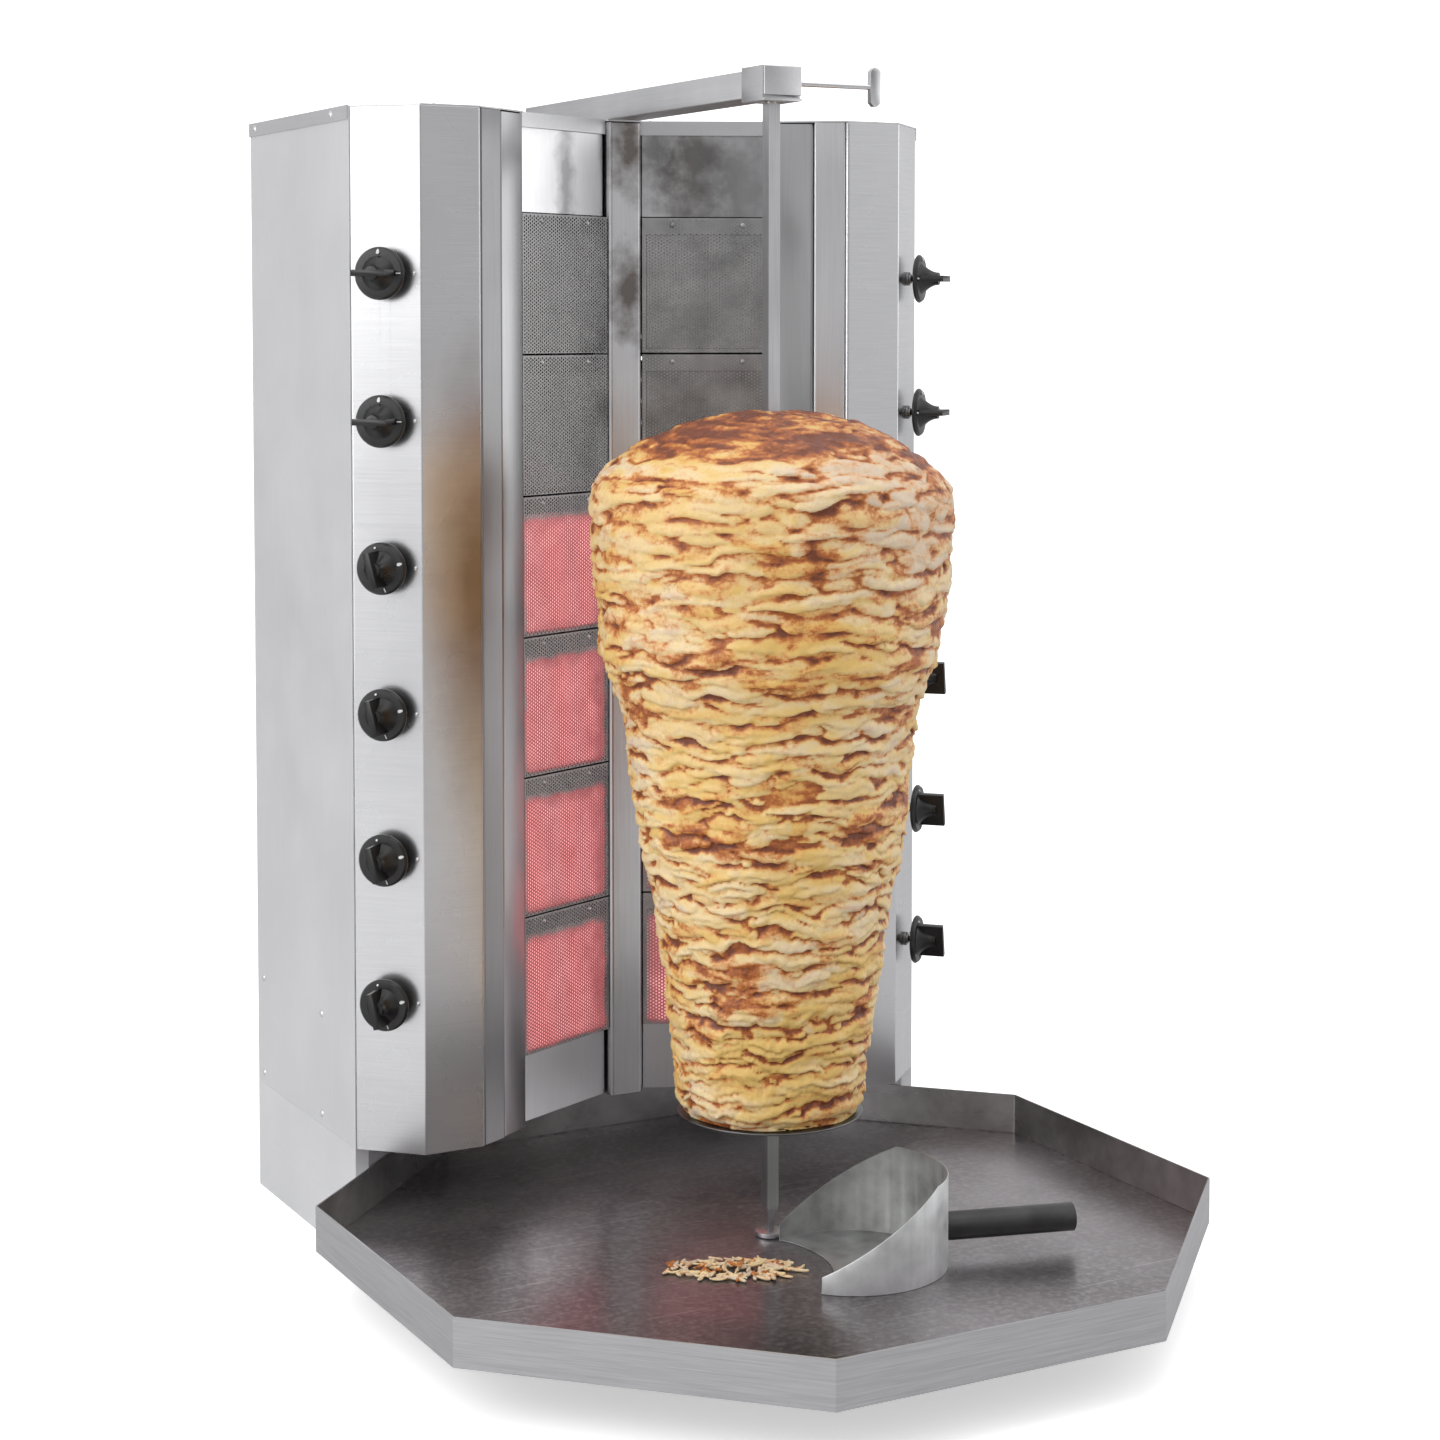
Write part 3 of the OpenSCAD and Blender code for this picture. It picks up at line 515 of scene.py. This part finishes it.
rubber = Shade("rubber", (0.02, 0.02, 0.02), 0.0, 0.7)
rubber.set("Base Color", rubber.ramp(rubber.noise(120.0, 4.0),
                                     (0.3, (0.012, 0.012, 0.012)), (0.7, (0.035, 0.034, 0.033))))
rubber.bump(rubber.noise(900.0, 3.0), 0.00005)
paint(rubber, "rubber_feet", "cable_gland")

# ---------------------------------------------------------------- tray

tray_steel = Shade("tray_steel", metallic=1.0)


def make_tray_steel():
    """Dark and greasy inside, brushed and bright outside, with scratches on the floor."""
    shade = tray_steel
    outside = facing_out(shade, (0.0, SPIT_Y, 0.0))
    floor = shade.span(shade.axis("Z"), 0.0522, 0.053, 1.0, 0.0)
    lines = shade.noise(1.0, 4.0, 0.6, BRUSH["across"])
    bright = shade.ramp(lines, (0.25, (0.4, 0.4, 0.41)), (0.75, (0.56, 0.56, 0.57)))
    wall = shade.ramp(shade.noise(14.0, 5.0, 0.65), (0.3, (0.26, 0.25, 0.25)), (0.7, (0.5, 0.49, 0.49)))
    grime = shade.noise(5.0, 4.0, 0.5)
    base = shade.ramp(grime, (0.28, (0.12, 0.107, 0.112)), (0.5, (0.21, 0.192, 0.2)),
                      (0.75, (0.34, 0.32, 0.334)))
    fine = shade.noise(160.0, 5.0, 0.7)
    base = shade.blend(shade.span(fine, 0.45, 0.75, 0.0, 0.5), base, (0.55, 0.52, 0.54))
    marks = None
    for turn, seed in ((0.4, 0.0), (1.5, 3.0), (2.4, 7.0)):
        mapping = shade.node("ShaderNodeMapping")
        shade.tree.links.new(shade.coords, mapping.inputs["Vector"])
        mapping.inputs["Rotation"].default_value = (0.0, 0.0, turn)
        mapping.inputs["Location"].default_value = (seed, seed, 0.0)
        mapping.inputs["Scale"].default_value = (6.0, 420.0, 1.0)
        made = shade.node("ShaderNodeTexNoise")
        shade.tree.links.new(mapping.outputs[0], made.inputs["Vector"])
        made.inputs["Scale"].default_value = 1.0
        made.inputs["Detail"].default_value = 1.0
        line = shade.span(made.outputs[0], 0.72, 0.78)
        marks = line if marks is None else shade.maths("MAXIMUM", marks, line)
    base = shade.blend(shade.maths("MULTIPLY", marks, 0.6), base, (0.65, 0.63, 0.63))
    inside = shade.blend(floor, wall, base)
    shade.set("Base Color", shade.blend(outside, inside, bright))
    shade.set("Metallic", scalar_blend(shade, outside, 0.8, 1.0))
    slick = shade.span(shade.noise(6.0, 3.0, 0.5), 0.3, 0.7, 0.2, 0.36)
    shade.set("Roughness", scalar_blend(shade, outside, slick, 0.42))
    shade.bump(shade.noise(9.0, 2.0, 0.4), 0.0006, 0.5)
    shade.bump(fine, 0.00004)


make_tray_steel()
paint(tray_steel, "tray")
soften(0.7 * MM, "tray", smooth=False)

# ---------------------------------------------------------------- burners

HOLE_PITCH = 3.45 * MM
HOLE_RADIUS = 1.2 * MM
SCREEN_DEPTH = 0.7 * MM


def make_screen_steel():
    """Heat-darkened mesh, which glows where its burner is lit; it glows less near the post, as painted
    shade.
    """
    shade = Shade("screen_mesh", metallic=0.85)
    glow_and_painted_shade = shade.attribute("glow_and_painted_shade")
    cloud = shade.noise(45.0, 3.0, 0.6)
    glow_and_painted_shade = shade.span(shade.maths("ADD", glow_and_painted_shade, shade.span(cloud, 0.3, 0.7, -0.22, 0.22)), 0.25, 0.75)
    soot = shade.noise(22.0, 4.0, 0.6)
    metal = shade.ramp(soot, (0.3, (0.24, 0.24, 0.24)), (0.7, (0.44, 0.44, 0.44)))
    shade.set("Base Color", shade.blend(glow_and_painted_shade, metal, (0.3, 0.16, 0.16)))
    shade.set("Roughness", shade.span(soot, 0.3, 0.7, 0.35, 0.6))
    heat = shade.ramp(shade.noise(60.0, 3.0), (0.3, (0.42, 0.07, 0.08)), (0.7, (0.54, 0.12, 0.135)))
    shade.set("Emission Color", heat)
    shade.set("Emission Strength", shade.maths("MULTIPLY", glow_and_painted_shade, 0.45))
    return shade


def make_ceramic():
    """Pale drilled plaques; the lower ones are lit."""
    shade = Shade("ceramic", roughness=0.8)
    pale = shade.ramp(shade.noise(80.0, 4.0), (0.3, (0.6, 0.6, 0.59)), (0.7, (0.84, 0.84, 0.83)))
    # Darker dots at the drilled holes: painted shade inside the holes.
    painted_hole_shade = shade.span(shade.cells(420.0), 0.0, 0.5, 0.35, 1.0)
    shade.set("Base Color", shade.blend(1.0, pale, painted_hole_shade, "MULTIPLY"))
    lit = shade.span(shade.axis("Z"), BURNER_LOW + LIT_BURNERS * BURNER_PITCH - 0.001,
                     BURNER_LOW + LIT_BURNERS * BURNER_PITCH, 1.0, 0.0)
    heat = shade.ramp(shade.noise(30.0, 3.0), (0.3, (0.86, 0.3, 0.31)), (0.7, (1.0, 0.44, 0.44)))
    above = shade.maths("SUBTRACT", shade.axis("Z"), BURNER_LOW)
    share = shade.maths("FRACT", shade.maths("DIVIDE", above, BURNER_PITCH))
    share = shade.maths("ADD", share, shade.span(shade.noise(24.0, 3.0), 0.3, 0.7, -0.05, 0.05))
    heat_and_painted_shade = shade.maths("MULTIPLY", shade.span(share, 0.0, 0.1, 0.2, 1.0),
                      shade.span(share, 0.76, 0.88, 1.0, 0.0))
    # The lit plaques give off less light near the post: painted shade over the burners' real heat.
    inward = shade.maths("ADD", shade.maths("ABSOLUTE", shade.axis("X")),
                         shade.span(shade.noise(30.0, 3.0), 0.3, 0.7, -0.008, 0.008))
    heat_and_painted_shade = shade.maths("MULTIPLY", heat_and_painted_shade, shade.span(inward, 0.03, 0.05, 0.25, 1.0))
    shade.set("Emission Color", heat)
    shade.set("Emission Strength", shade.maths("MULTIPLY", shade.maths("MULTIPLY", lit, heat_and_painted_shade), 1.2))
    return shade


screen_steel = make_screen_steel()
paint(make_ceramic(), "left_ceramic_plaques", "right_ceramic_plaques")


def make_screen(side, number):
    """One sheet of mesh. Each hole has six sides and a cell of its own; cells at the edge stay closed."""
    low = BURNER_LOW + number * BURNER_PITCH + 1 * MM
    step = HOLE_PITCH * math.sqrt(3) / 2
    cell = HOLE_PITCH / math.sqrt(3)
    columns = int(BURNER_WIDTH / step) + 2
    rows = int(BURNER_HEIGHT / HOLE_PITCH) + 2
    i, j = np.meshgrid(np.arange(columns), np.arange(rows), indexing="ij")
    x = (i * step).ravel()
    z = ((j + 0.5 * (i % 2)) * HOLE_PITCH).ravel()
    turns = np.arange(6) * math.pi / 3
    outer_x = np.clip(x[:, None] + cell * np.cos(turns), 0, BURNER_WIDTH)
    outer_z = np.clip(z[:, None] + cell * np.sin(turns), 0, BURNER_HEIGHT)
    edge = HOLE_RADIUS + 0.5 * MM
    open_cell = (x > edge) & (x < BURNER_WIDTH - edge) & (z > edge) & (z < BURNER_HEIGHT - edge)
    inner_x = x[:, None] + HOLE_RADIUS * np.cos(turns)
    inner_z = z[:, None] + HOLE_RADIUS * np.sin(turns)
    middle_x = np.clip(x, 0, BURNER_WIDTH)
    middle_z = np.clip(z, 0, BURNER_HEIGHT)
    inner_x = np.where(open_cell[:, None], inner_x, middle_x[:, None])
    inner_z = np.where(open_cell[:, None], inner_z, middle_z[:, None])
    count = len(x)
    flat = np.stack([np.concatenate([outer_x.ravel(), inner_x.ravel(), inner_x.ravel()]),
                     np.concatenate([np.zeros(12 * count), np.full(6 * count, SCREEN_DEPTH)]),
                     np.concatenate([outer_z.ravel(), inner_z.ravel(), inner_z.ravel()])], axis=-1)
    first = np.arange(count)[:, None] * 6
    here = first + np.arange(6)
    there = first + (np.arange(6) + 1) % 6
    face = np.stack([here, there, there + 6 * count, here + 6 * count], axis=-1).reshape(-1, 4)
    wall = face[np.repeat(open_cell, 6)] + 6 * count
    faces = np.concatenate([face, wall])
    _, keep, same = np.unique(np.round(flat / (0.01 * MM)).astype(np.int64), axis=0,
                              return_index=True, return_inverse=True)
    flat = flat[keep]
    faces = same.ravel()[faces]
    fixed = []
    for quad in faces.tolist():
        corners = [c for k, c in enumerate(quad) if c != quad[k - 1]]
        if len(set(corners)) >= 3:
            fixed.append(corners)
    u = flat[:, 0] / BURNER_WIDTH
    v = flat[:, 2] / BURNER_HEIGHT
    depth = -SCREEN_OUT + flat[:, 1]
    points = np.stack(in_column(side, flat[:, 0] - COLUMN_LAP, depth, flat[:, 2] + low), axis=-1)
    if side > 0:
        fixed = [list(reversed(face)) for face in fixed]
    hand = "left" if side < 0 else "right"
    piece = make_piece(f"{hand}_screen_{number + 1}", points, fixed, screen_steel, "cabinet",
                       (f"{hand}_mesh_screens",))
    glow_and_painted_shade = np.zeros(len(flat))
    if number < LIT_BURNERS:
        top = np.clip((1 - STRIP / BURNER_HEIGHT - v) * 14, 0, 1)
        low_edge = np.clip(v * 18 + 0.15, 0, 1)
        # Towards its edges, and most towards the post, the mesh gives off less light: painted shade over the
        # burner's real heat.
        glow_and_painted_shade = top * low_edge * np.clip((1 - u) * 11, 0.2, 1) * np.clip(u * 9 + 0.4, 0, 1)
    add_values(piece, "glow_and_painted_shade", glow_and_painted_shade)


for burner in range(BURNERS):
    for side in (1, -1):
        make_screen(side, burner)

# ---------------------------------------------------------------- meat

# Radius and height of the cone in millimetres, from the plate to the top
MEAT_PROFILE = ((84, 174), (90, 187), (94, 239), (109, 345), (126, 450), (138, 555), (156, 602), (163, 686),
                (168, 743), (166, 762), (146, 782), (118, 802), (80, 818), (40, 825), (6, 827))
# Size of the surface grid, and the lowest height it may reach
MEAT_ROWS = 430
MEAT_COLUMNS = 620
MEAT_BOTTOM = 174.3 * MM
# Relative size of the large and the small lobes, and how many of each are tried
LOBE_SETS = ((1.0, 3900), (0.38, 5200))


def blur(field, around, up):
    """Smooths a grid over that many samples; the grid joins up with itself at its edges."""
    k_up = np.fft.fftfreq(field.shape[0])[:, None]
    k_around = np.fft.fftfreq(field.shape[1])[None, :]
    kept = np.exp(-2 * (math.pi ** 2) * ((k_around * around) ** 2 + (k_up * up) ** 2))
    return np.real(np.fft.ifft2(np.fft.fft2(field) * kept))


def soft_field(rng, shape, around, up):
    """Smooth noise on a grid, with features that long in samples, and a spread of 1."""
    field = blur(rng.standard_normal(shape), around, up)
    return field / field.std()


def smooth_step(value, low, high):
    t = np.clip((value - low) / (high - low), 0, 1)
    return t * t * (3 - 2 * t)


def make_roast():
    """Grilled chicken: cream folds, orange and brown roasting, dark cracks, and painted shade deep in the
    creases.
    """
    shade = Shade("roast_meat", roughness=0.42)
    painted_crease_shade = shade.attribute("painted_crease_shade")
    tone = shade.attribute("tone")
    roast = shade.attribute("roast")
    char = shade.attribute("char")
    fine = shade.noise(260.0, 5.0, 0.65)
    patches = shade.noise(45.0, 5.0, 0.6, (1, 1, 2.2), 0.5)
    pale = shade.ramp(shade.maths("ADD", tone, shade.span(patches, 0.3, 0.7, -0.25, 0.25)),
                      (0.1, (0.74, 0.49, 0.15)), (0.4, (0.78, 0.57, 0.26)), (0.65, (0.78, 0.61, 0.36)),
                      (0.9, (0.68, 0.54, 0.4)))
    # Painted shade in the creases and the roasting both push the colour towards dark brown.
    level = shade.maths("ADD", shade.maths("MULTIPLY", painted_crease_shade, 0.72), shade.maths("MULTIPLY", roast, 0.6))
    level = shade.maths("ADD", level, shade.span(patches, 0.3, 0.7, -0.32, 0.32))
    level = shade.maths("ADD", level, shade.span(fine, 0.3, 0.7, -0.14, 0.14))
    cooked = shade.ramp(level, (0.2, (0.76, 0.4, 0.1)), (0.45, (0.62, 0.24, 0.05)),
                        (0.7, (0.4, 0.11, 0.022)), (1.0, (0.17, 0.04, 0.012)))
    colour = shade.blend(shade.span(level, 0.1, 0.58), pale, cooked)
    burnt = shade.maths("ADD", char, shade.span(fine, 0.3, 0.7, -0.2, 0.2))
    colour = shade.blend(shade.span(burnt, 0.35, 0.85, 0.0, 0.8), colour, (0.1, 0.022, 0.01))
    freckles = shade.span(shade.noise(600.0, 2.0, 0.5), 0.62, 0.75, 0.0, 0.3)
    colour = shade.blend(freckles, colour, (0.4, 0.2, 0.07))
    shade.set("Base Color", colour)
    shade.set("Roughness", shade.span(patches, 0.3, 0.7, 0.3, 0.55))
    shade.bsdf.inputs["Subsurface Weight"].default_value = 0.08
    shade.bsdf.inputs["Subsurface Radius"].default_value = (0.006, 0.003, 0.0015)
    shade.bump(patches, 0.0016, 0.7)
    shade.bump(fine, 0.0006, 0.9)
    return shade


roast_meat = make_roast()


def heap_lobes(rng, along, radius, columns):
    """Heights of thousands of flat, overlapping lobes of meat, and for each point its lobe's own number."""
    shape = (len(along), columns)
    turn = np.arange(columns) * 2 * math.pi / columns
    high = np.zeros(shape)
    owner = np.zeros(shape)
    drift_up = soft_field(rng, shape, 9, 6) * 2.2 * MM + soft_field(rng, shape, 2.5, 2) * 0.7 * MM
    drift_round = soft_field(rng, shape, 5, 5) * 2.6 * MM
    for size, lobes in LOBE_SETS:
        for _ in range(lobes):
            middle = rng.random() * along[-1]
            centre = np.searchsorted(along, middle)
            around = radius[centre]
            if rng.random() > around / radius.max():
                continue
            upper = smooth_step(middle / along[-1], 0.42, 0.72)
            long = rng.uniform(11, 40) * MM * size * (1 + 0.35 * upper)
            tall = rng.uniform(2.6, 5.4) * MM * (size ** 0.5) * (1 + 0.75 * upper)
            proud = rng.uniform(2.0, 5.0) * MM * (size ** 0.5) * (1 + 0.5 * upper)
            tilt = rng.normal(0, 0.09)
            bow = rng.normal(0, 2.4)
            where = rng.random() * 2 * math.pi
            tone = rng.random()
            reach_up = 1.5 * tall + 0.1 * long + 6 * MM
            low, top = np.searchsorted(along, (middle - reach_up, middle + reach_up))
            wide = int((long + 8 * MM) / around / (2 * math.pi / columns)) + 1
            wide = min(wide, columns // 2 - 1)
            first = int(where / (2 * math.pi / columns))
            span = (first + np.arange(-wide, wide + 1)) % columns
            block = np.ix_(np.arange(low, top), span)
            gap = (turn[span] - where + math.pi) % (2 * math.pi) - math.pi
            u = gap[None, :] * around + drift_round[block]
            v = along[low:top, None] - middle + drift_up[block] - tilt * u + bow * u * u
            v = np.where(v > 0, v / (1.35 * tall), v / (0.8 * tall))
            dome = np.clip(1 - (u / long) ** 2 - v ** 2, 0, 1) ** 0.5 * proud
            taller = dome > high[block]
            high[block] = np.where(taller, dome, high[block])
            owner[block] = np.where(taller, tone, owner[block])
    return high, owner


def make_meat():
    """The cone: a closed grid round the spit, raised into thousands of folded, sagging lobes."""
    rng = np.random.default_rng(11)
    rows = MEAT_ROWS
    columns = MEAT_COLUMNS
    profile = np.array(MEAT_PROFILE, dtype=float) * MM
    steps = np.linalg.norm(np.diff(profile, axis=0), axis=1)
    length = np.concatenate([[0], np.cumsum(steps)])
    along = np.linspace(0, length[-1], rows)
    radius = np.interp(along, length, profile[:, 0])
    height = np.interp(along, length, profile[:, 1])
    window = np.hanning(15)
    window /= window.sum()
    for line in (radius, height):
        padded = np.concatenate([2 * line[0] - line[7:0:-1], line, 2 * line[-1] - line[-2:-9:-1]])
        line[:] = np.convolve(padded, window, "valid")
    radius = np.maximum(radius, 5 * MM)
    slope = np.gradient(np.stack([radius, height], axis=-1), axis=0)
    slope /= np.linalg.norm(slope, axis=1)[:, None]
    normal = np.stack([slope[:, 1], -slope[:, 0]], axis=-1)

    shape = (rows, columns)
    share = along / length[-1]
    upper = smooth_step(share, 0.42, 0.72)[:, None]
    crown = smooth_step(share, 0.79, 0.87)[:, None]
    lobes, owner = heap_lobes(rng, along, radius, columns)
    lobes *= 1 - 0.6 * crown
    lump = soft_field(rng, shape, 30, 24) * 1.6 * MM + soft_field(rng, shape, 9, 5) * 0.6 * MM
    relief = lobes + lump + soft_field(rng, shape, 1.3, 1.0) * 0.22 * MM
    fade = smooth_step(radius, 6 * MM, 30 * MM)[:, None]
    relief = (relief - 3.6 * MM) * fade - 4.5 * MM * smooth_step(height, 190 * MM, 174 * MM)[:, None]
    sag = -0.5 * lobes * (1 - crown) * fade

    turn = np.arange(columns) * 2 * math.pi / columns
    r = radius[:, None] + relief * normal[:, :1]
    z = height[:, None] + relief * normal[:, 1:] + sag
    z = np.maximum(z, MEAT_BOTTOM)
    r[0] = radius[0] - 2 * MM
    points = np.stack([r * np.cos(turn), SPIT_Y + r * np.sin(turn), z], axis=-1).reshape(-1, 3)
    faces = grid_faces(rows, columns).tolist()
    faces.append(list(range(columns))[::-1])
    faces.append([(rows - 1) * columns + k for k in range(columns)])
    piece = make_piece("meat_folds", points, faces, roast_meat, "spit", ("meat_cone",))
    piece.data.polygons.foreach_set("use_smooth", [True] * len(piece.data.polygons))
    # How far each point lies below the lobes around it, stored as painted shade deep in the creases.
    deep = blur(lobes, 6, 4) - lobes + 0.5 * MM * crown
    painted_crease_shade = smooth_step(deep, -0.7 * MM, 2.4 * MM)
    add_values(piece, "painted_crease_shade", painted_crease_shade)
    add_values(piece, "tone", 0.1 + 0.6 * blur(owner, 1, 1) + 0.16 * soft_field(rng, shape, 26, 16)
               + 0.25 * upper - 0.4 * crown)
    dark = soft_field(rng, shape, 20, 6)
    blotch = smooth_step(dark + 0.5 * soft_field(rng, shape, 6, 2.5), 0.3, 2.2)
    own = smooth_step(blur(owner, 1, 1), 0.35, 0.1)
    add_values(piece, "roast", 0.75 * blotch + 0.45 * own + 0.2 * upper
               + 0.85 * crown * smooth_step(soft_field(rng, shape, 12, 8), -1.9, 0.5))
    burnt = smooth_step(soft_field(rng, shape, 7, 2.5) + 0.5 * dark, 1.9, 2.9)
    add_values(piece, "char", np.clip(burnt * (0.45 + 0.5 * crown), 0, 1))


make_meat()

# ---------------------------------------------------------------- meat trimmings

PILE_PLACE = (-80 * MM, -69 * MM + SPIT_Y)
PILE_TURN = math.radians(-28.6)
PILE_SIZE = (68 * MM, 29 * MM)


def make_trimmings():
    """A heap of small bent strips of meat on the tray."""
    rng = np.random.default_rng(5)
    points = []
    faces = []
    tones = []
    strips = 150
    parts = 5
    for k in range(strips):
        spread = math.sqrt(rng.random()) * 0.98
        turn = rng.random() * 2 * math.pi
        local = (PILE_SIZE[0] * spread * math.cos(turn), PILE_SIZE[1] * spread * math.sin(turn))
        x = PILE_PLACE[0] + local[0] * math.cos(PILE_TURN) - local[1] * math.sin(PILE_TURN)
        y = PILE_PLACE[1] + local[0] * math.sin(PILE_TURN) + local[1] * math.cos(PILE_TURN)
        high = TRAY_FLOOR + 1.2 * MM + 7 * MM * max(0.0, 0.85 - spread) * rng.random()
        heading = rng.random() * math.pi + 0.3
        long = rng.uniform(8, 19) * MM
        wide = rng.uniform(3.5, 7.0) * MM
        thick = rng.uniform(1.3, 2.4) * MM
        bend = rng.uniform(-0.5, 0.5)
        lift = rng.uniform(0, 1.5) * MM
        tone = rng.random()
        roast = rng.random()
        base = len(points)
        for i in range(parts + 1):
            t = i / parts - 0.5
            angle = heading + bend * t
            px = x + long * t * math.cos(angle)
            py = y + long * t * math.sin(angle)
            slim = 0.35 + 0.65 * math.sin(math.pi * (i + 0.35) / (parts + 0.7))
            rise = lift * (2 * t) ** 2
            for a, b in ((-1, -0.5), (-0.6, 1), (0.6, 1), (1, -0.5)):
                jitter = rng.normal(0, 0.3 * MM, 3)
                points.append((px - wide * slim * a / 2 * math.sin(angle) + jitter[0],
                               py + wide * slim * a / 2 * math.cos(angle) + jitter[1],
                               max(high + rise + thick * b + jitter[2], TRAY_FLOOR + 0.2 * MM)))
                tones.append((tone, roast))
        for i in range(parts):
            for q in range(4):
                a = base + 4 * i + q
                b = base + 4 * i + (q + 1) % 4
                faces.append((a, b, b + 4, a + 4))
        faces.append(tuple(base + q for q in range(3, -1, -1)))
        faces.append(tuple(base + 4 * parts + q for q in range(4)))
    piece = make_piece("trimmings_strips", points, faces, roast_meat, "cabinet",
                       ("meat_trimmings",))
    smooth = piece.modifiers.new("smooth", "SUBSURF")
    smooth.levels = 1
    smooth.render_levels = 1
    piece.data.polygons.foreach_set("use_smooth", [True] * len(piece.data.polygons))
    tones = np.array(tones)
    add_values(piece, "tone", 0.55 + 0.45 * tones[:, 0])
    add_values(piece, "roast", 0.75 * (tones[:, 1] > 0.72) + 0.15)
    add_values(piece, "painted_crease_shade", np.zeros(len(tones)))
    add_values(piece, "char", 0.3 * (tones[:, 1] > 0.93))


make_trimmings()

# ---------------------------------------------------------------- scoop

SCOOP_PLACE = (27 * MM, -102 * MM + SPIT_Y, 0.1)
scoop_sheet = Shade("scoop_sheet", metallic=0.55)
spangle = scoop_sheet.cells(55.0)
cloudy = scoop_sheet.noise(30.0, 5.0, 0.65)
scoop_tone = scoop_sheet.maths("ADD", scoop_sheet.span(cloudy, 0.25, 0.75, 0.0, 0.7),
                               scoop_sheet.span(spangle, 0.0, 0.7, 0.0, 0.3))
# The inside is painted darker and the outside lighter: painted shade inside the scoop, painted light on its
# outside, which faces the lamps.
scoop_inside_painted_shade = scoop_sheet.ramp(scoop_tone, (0.1, (0.2, 0.2, 0.197)), (0.9, (0.4, 0.41, 0.4)))
scoop_outside_painted_light = scoop_sheet.ramp(scoop_tone, (0.1, (0.55, 0.56, 0.56)), (0.9, (0.8, 0.81, 0.81)))
scoop_outside = facing_out(scoop_sheet, SCOOP_PLACE)
scoop_sheet.set("Base Color", scoop_sheet.blend(scoop_outside, scoop_inside_painted_shade, scoop_outside_painted_light))
scoop_sheet.set("Roughness", scoop_sheet.span(cloudy, 0.3, 0.7, 0.36, 0.6))
scoop_sheet.bump(cloudy, 0.0002)
scoop_sheet.bump(scoop_sheet.noise(420.0, 4.0), 0.00003)
paint(scoop_sheet, "scoop_pan")


def plastic(name, dark, light, rough):
    """Hard black plastic with a fine grain."""
    shade = Shade(name)
    shade.set("Base Color", shade.ramp(shade.noise(40.0, 4.0),
                                       (0.3, (dark, dark, dark)), (0.75, (light, light, light))))
    shade.set("Roughness", shade.span(shade.noise(25.0, 4.0), 0.3, 0.7, rough * 0.85, rough * 1.2))
    shade.bump(shade.noise(1500.0, 2.0), 0.00002)
    return shade


black_plastic = plastic("black_plastic", 0.005, 0.013, 0.3)
grip_plastic = plastic("grip_plastic", 0.018, 0.044, 0.38)
paint(grip_plastic, "scoop_handle")
soften(2.5 * MM, "scoop_handle", segments=4)

# ---------------------------------------------------------------- knobs

KNOB_SKIRT_TOP = 16.6 * MM
KNOB_RADIUS = 25 * MM
dial_white = Shade("dial_white", (0.8, 0.8, 0.8), 0.0, 0.5)
dial_white.set("Base Color", dial_white.ramp(dial_white.noise(300.0, 3.0),
                                             (0.3, (0.62, 0.62, 0.61)), (0.7, (0.82, 0.82, 0.82))))


def mark_outline(kind):
    """Flat outlines of the dial's marks, in millimetres: a flame, a dash and a dot."""
    if kind == "flame":
        turns = [k * 2 * math.pi / 20 for k in range(20)]
        return [(1.5 * math.sin(t) * (1 - 0.35 * math.cos(t)), 2.4 * math.cos(t)) for t in turns]
    if kind == "dash":
        return [(-2.0, -0.45), (2.0, -0.45), (2.0, 0.45), (-2.0, 0.45)]
    return [(1.0 * math.cos(k * math.pi / 8), 1.0 * math.sin(k * math.pi / 8)) for k in range(16)]


def make_marks(side, number):
    """Raised white marks on a knob's skirt: flame at the top, dash to the right, dot to the left."""
    name = f"{'left' if side < 0 else 'right'}_knob_{number}"
    high = KNOB_HIGH - (number - 1) * BURNER_PITCH
    turned = 0.0 if number <= 2 else math.radians(-76)
    points = []
    faces = []
    for kind, angle in (("flame", math.pi / 2), ("dash", 0.0), ("dot", math.pi)):
        outline = mark_outline(kind)
        base = len(points)
        for rise in (-0.6 * MM, 0.25 * MM):
            for u, v in outline:
                out = KNOB_RADIUS - 4.4 * MM + (v if kind == "flame" else u) * MM
                across = (-u if kind == "flame" else v) * MM
                a = angle + turned
                slope = (KNOB_RADIUS - 2 * MM - out) * 0.33
                points.append(tuple(on_knob_panel(side, out * math.cos(a) - across * math.sin(a),
                                                  out * math.sin(a) + across * math.cos(a),
                                                  KNOB_SKIRT_TOP + slope + rise, high)))
        n = len(outline)
        faces.append(tuple(range(base + n, base + 2 * n)))
        for k in range(n):
            faces.append((base + k, base + (k + 1) % n, base + n + (k + 1) % n, base + n + k))
    make_piece(f"{name}_marks", points, faces, dial_white, name)


for side in (-1, 1):
    for number in range(1, 7):
        name = f"{'left' if side < 0 else 'right'}_knob_{number}"
        paint(black_plastic, name)
        soften(0.6 * MM, name, segments=3)
        make_marks(side, number)
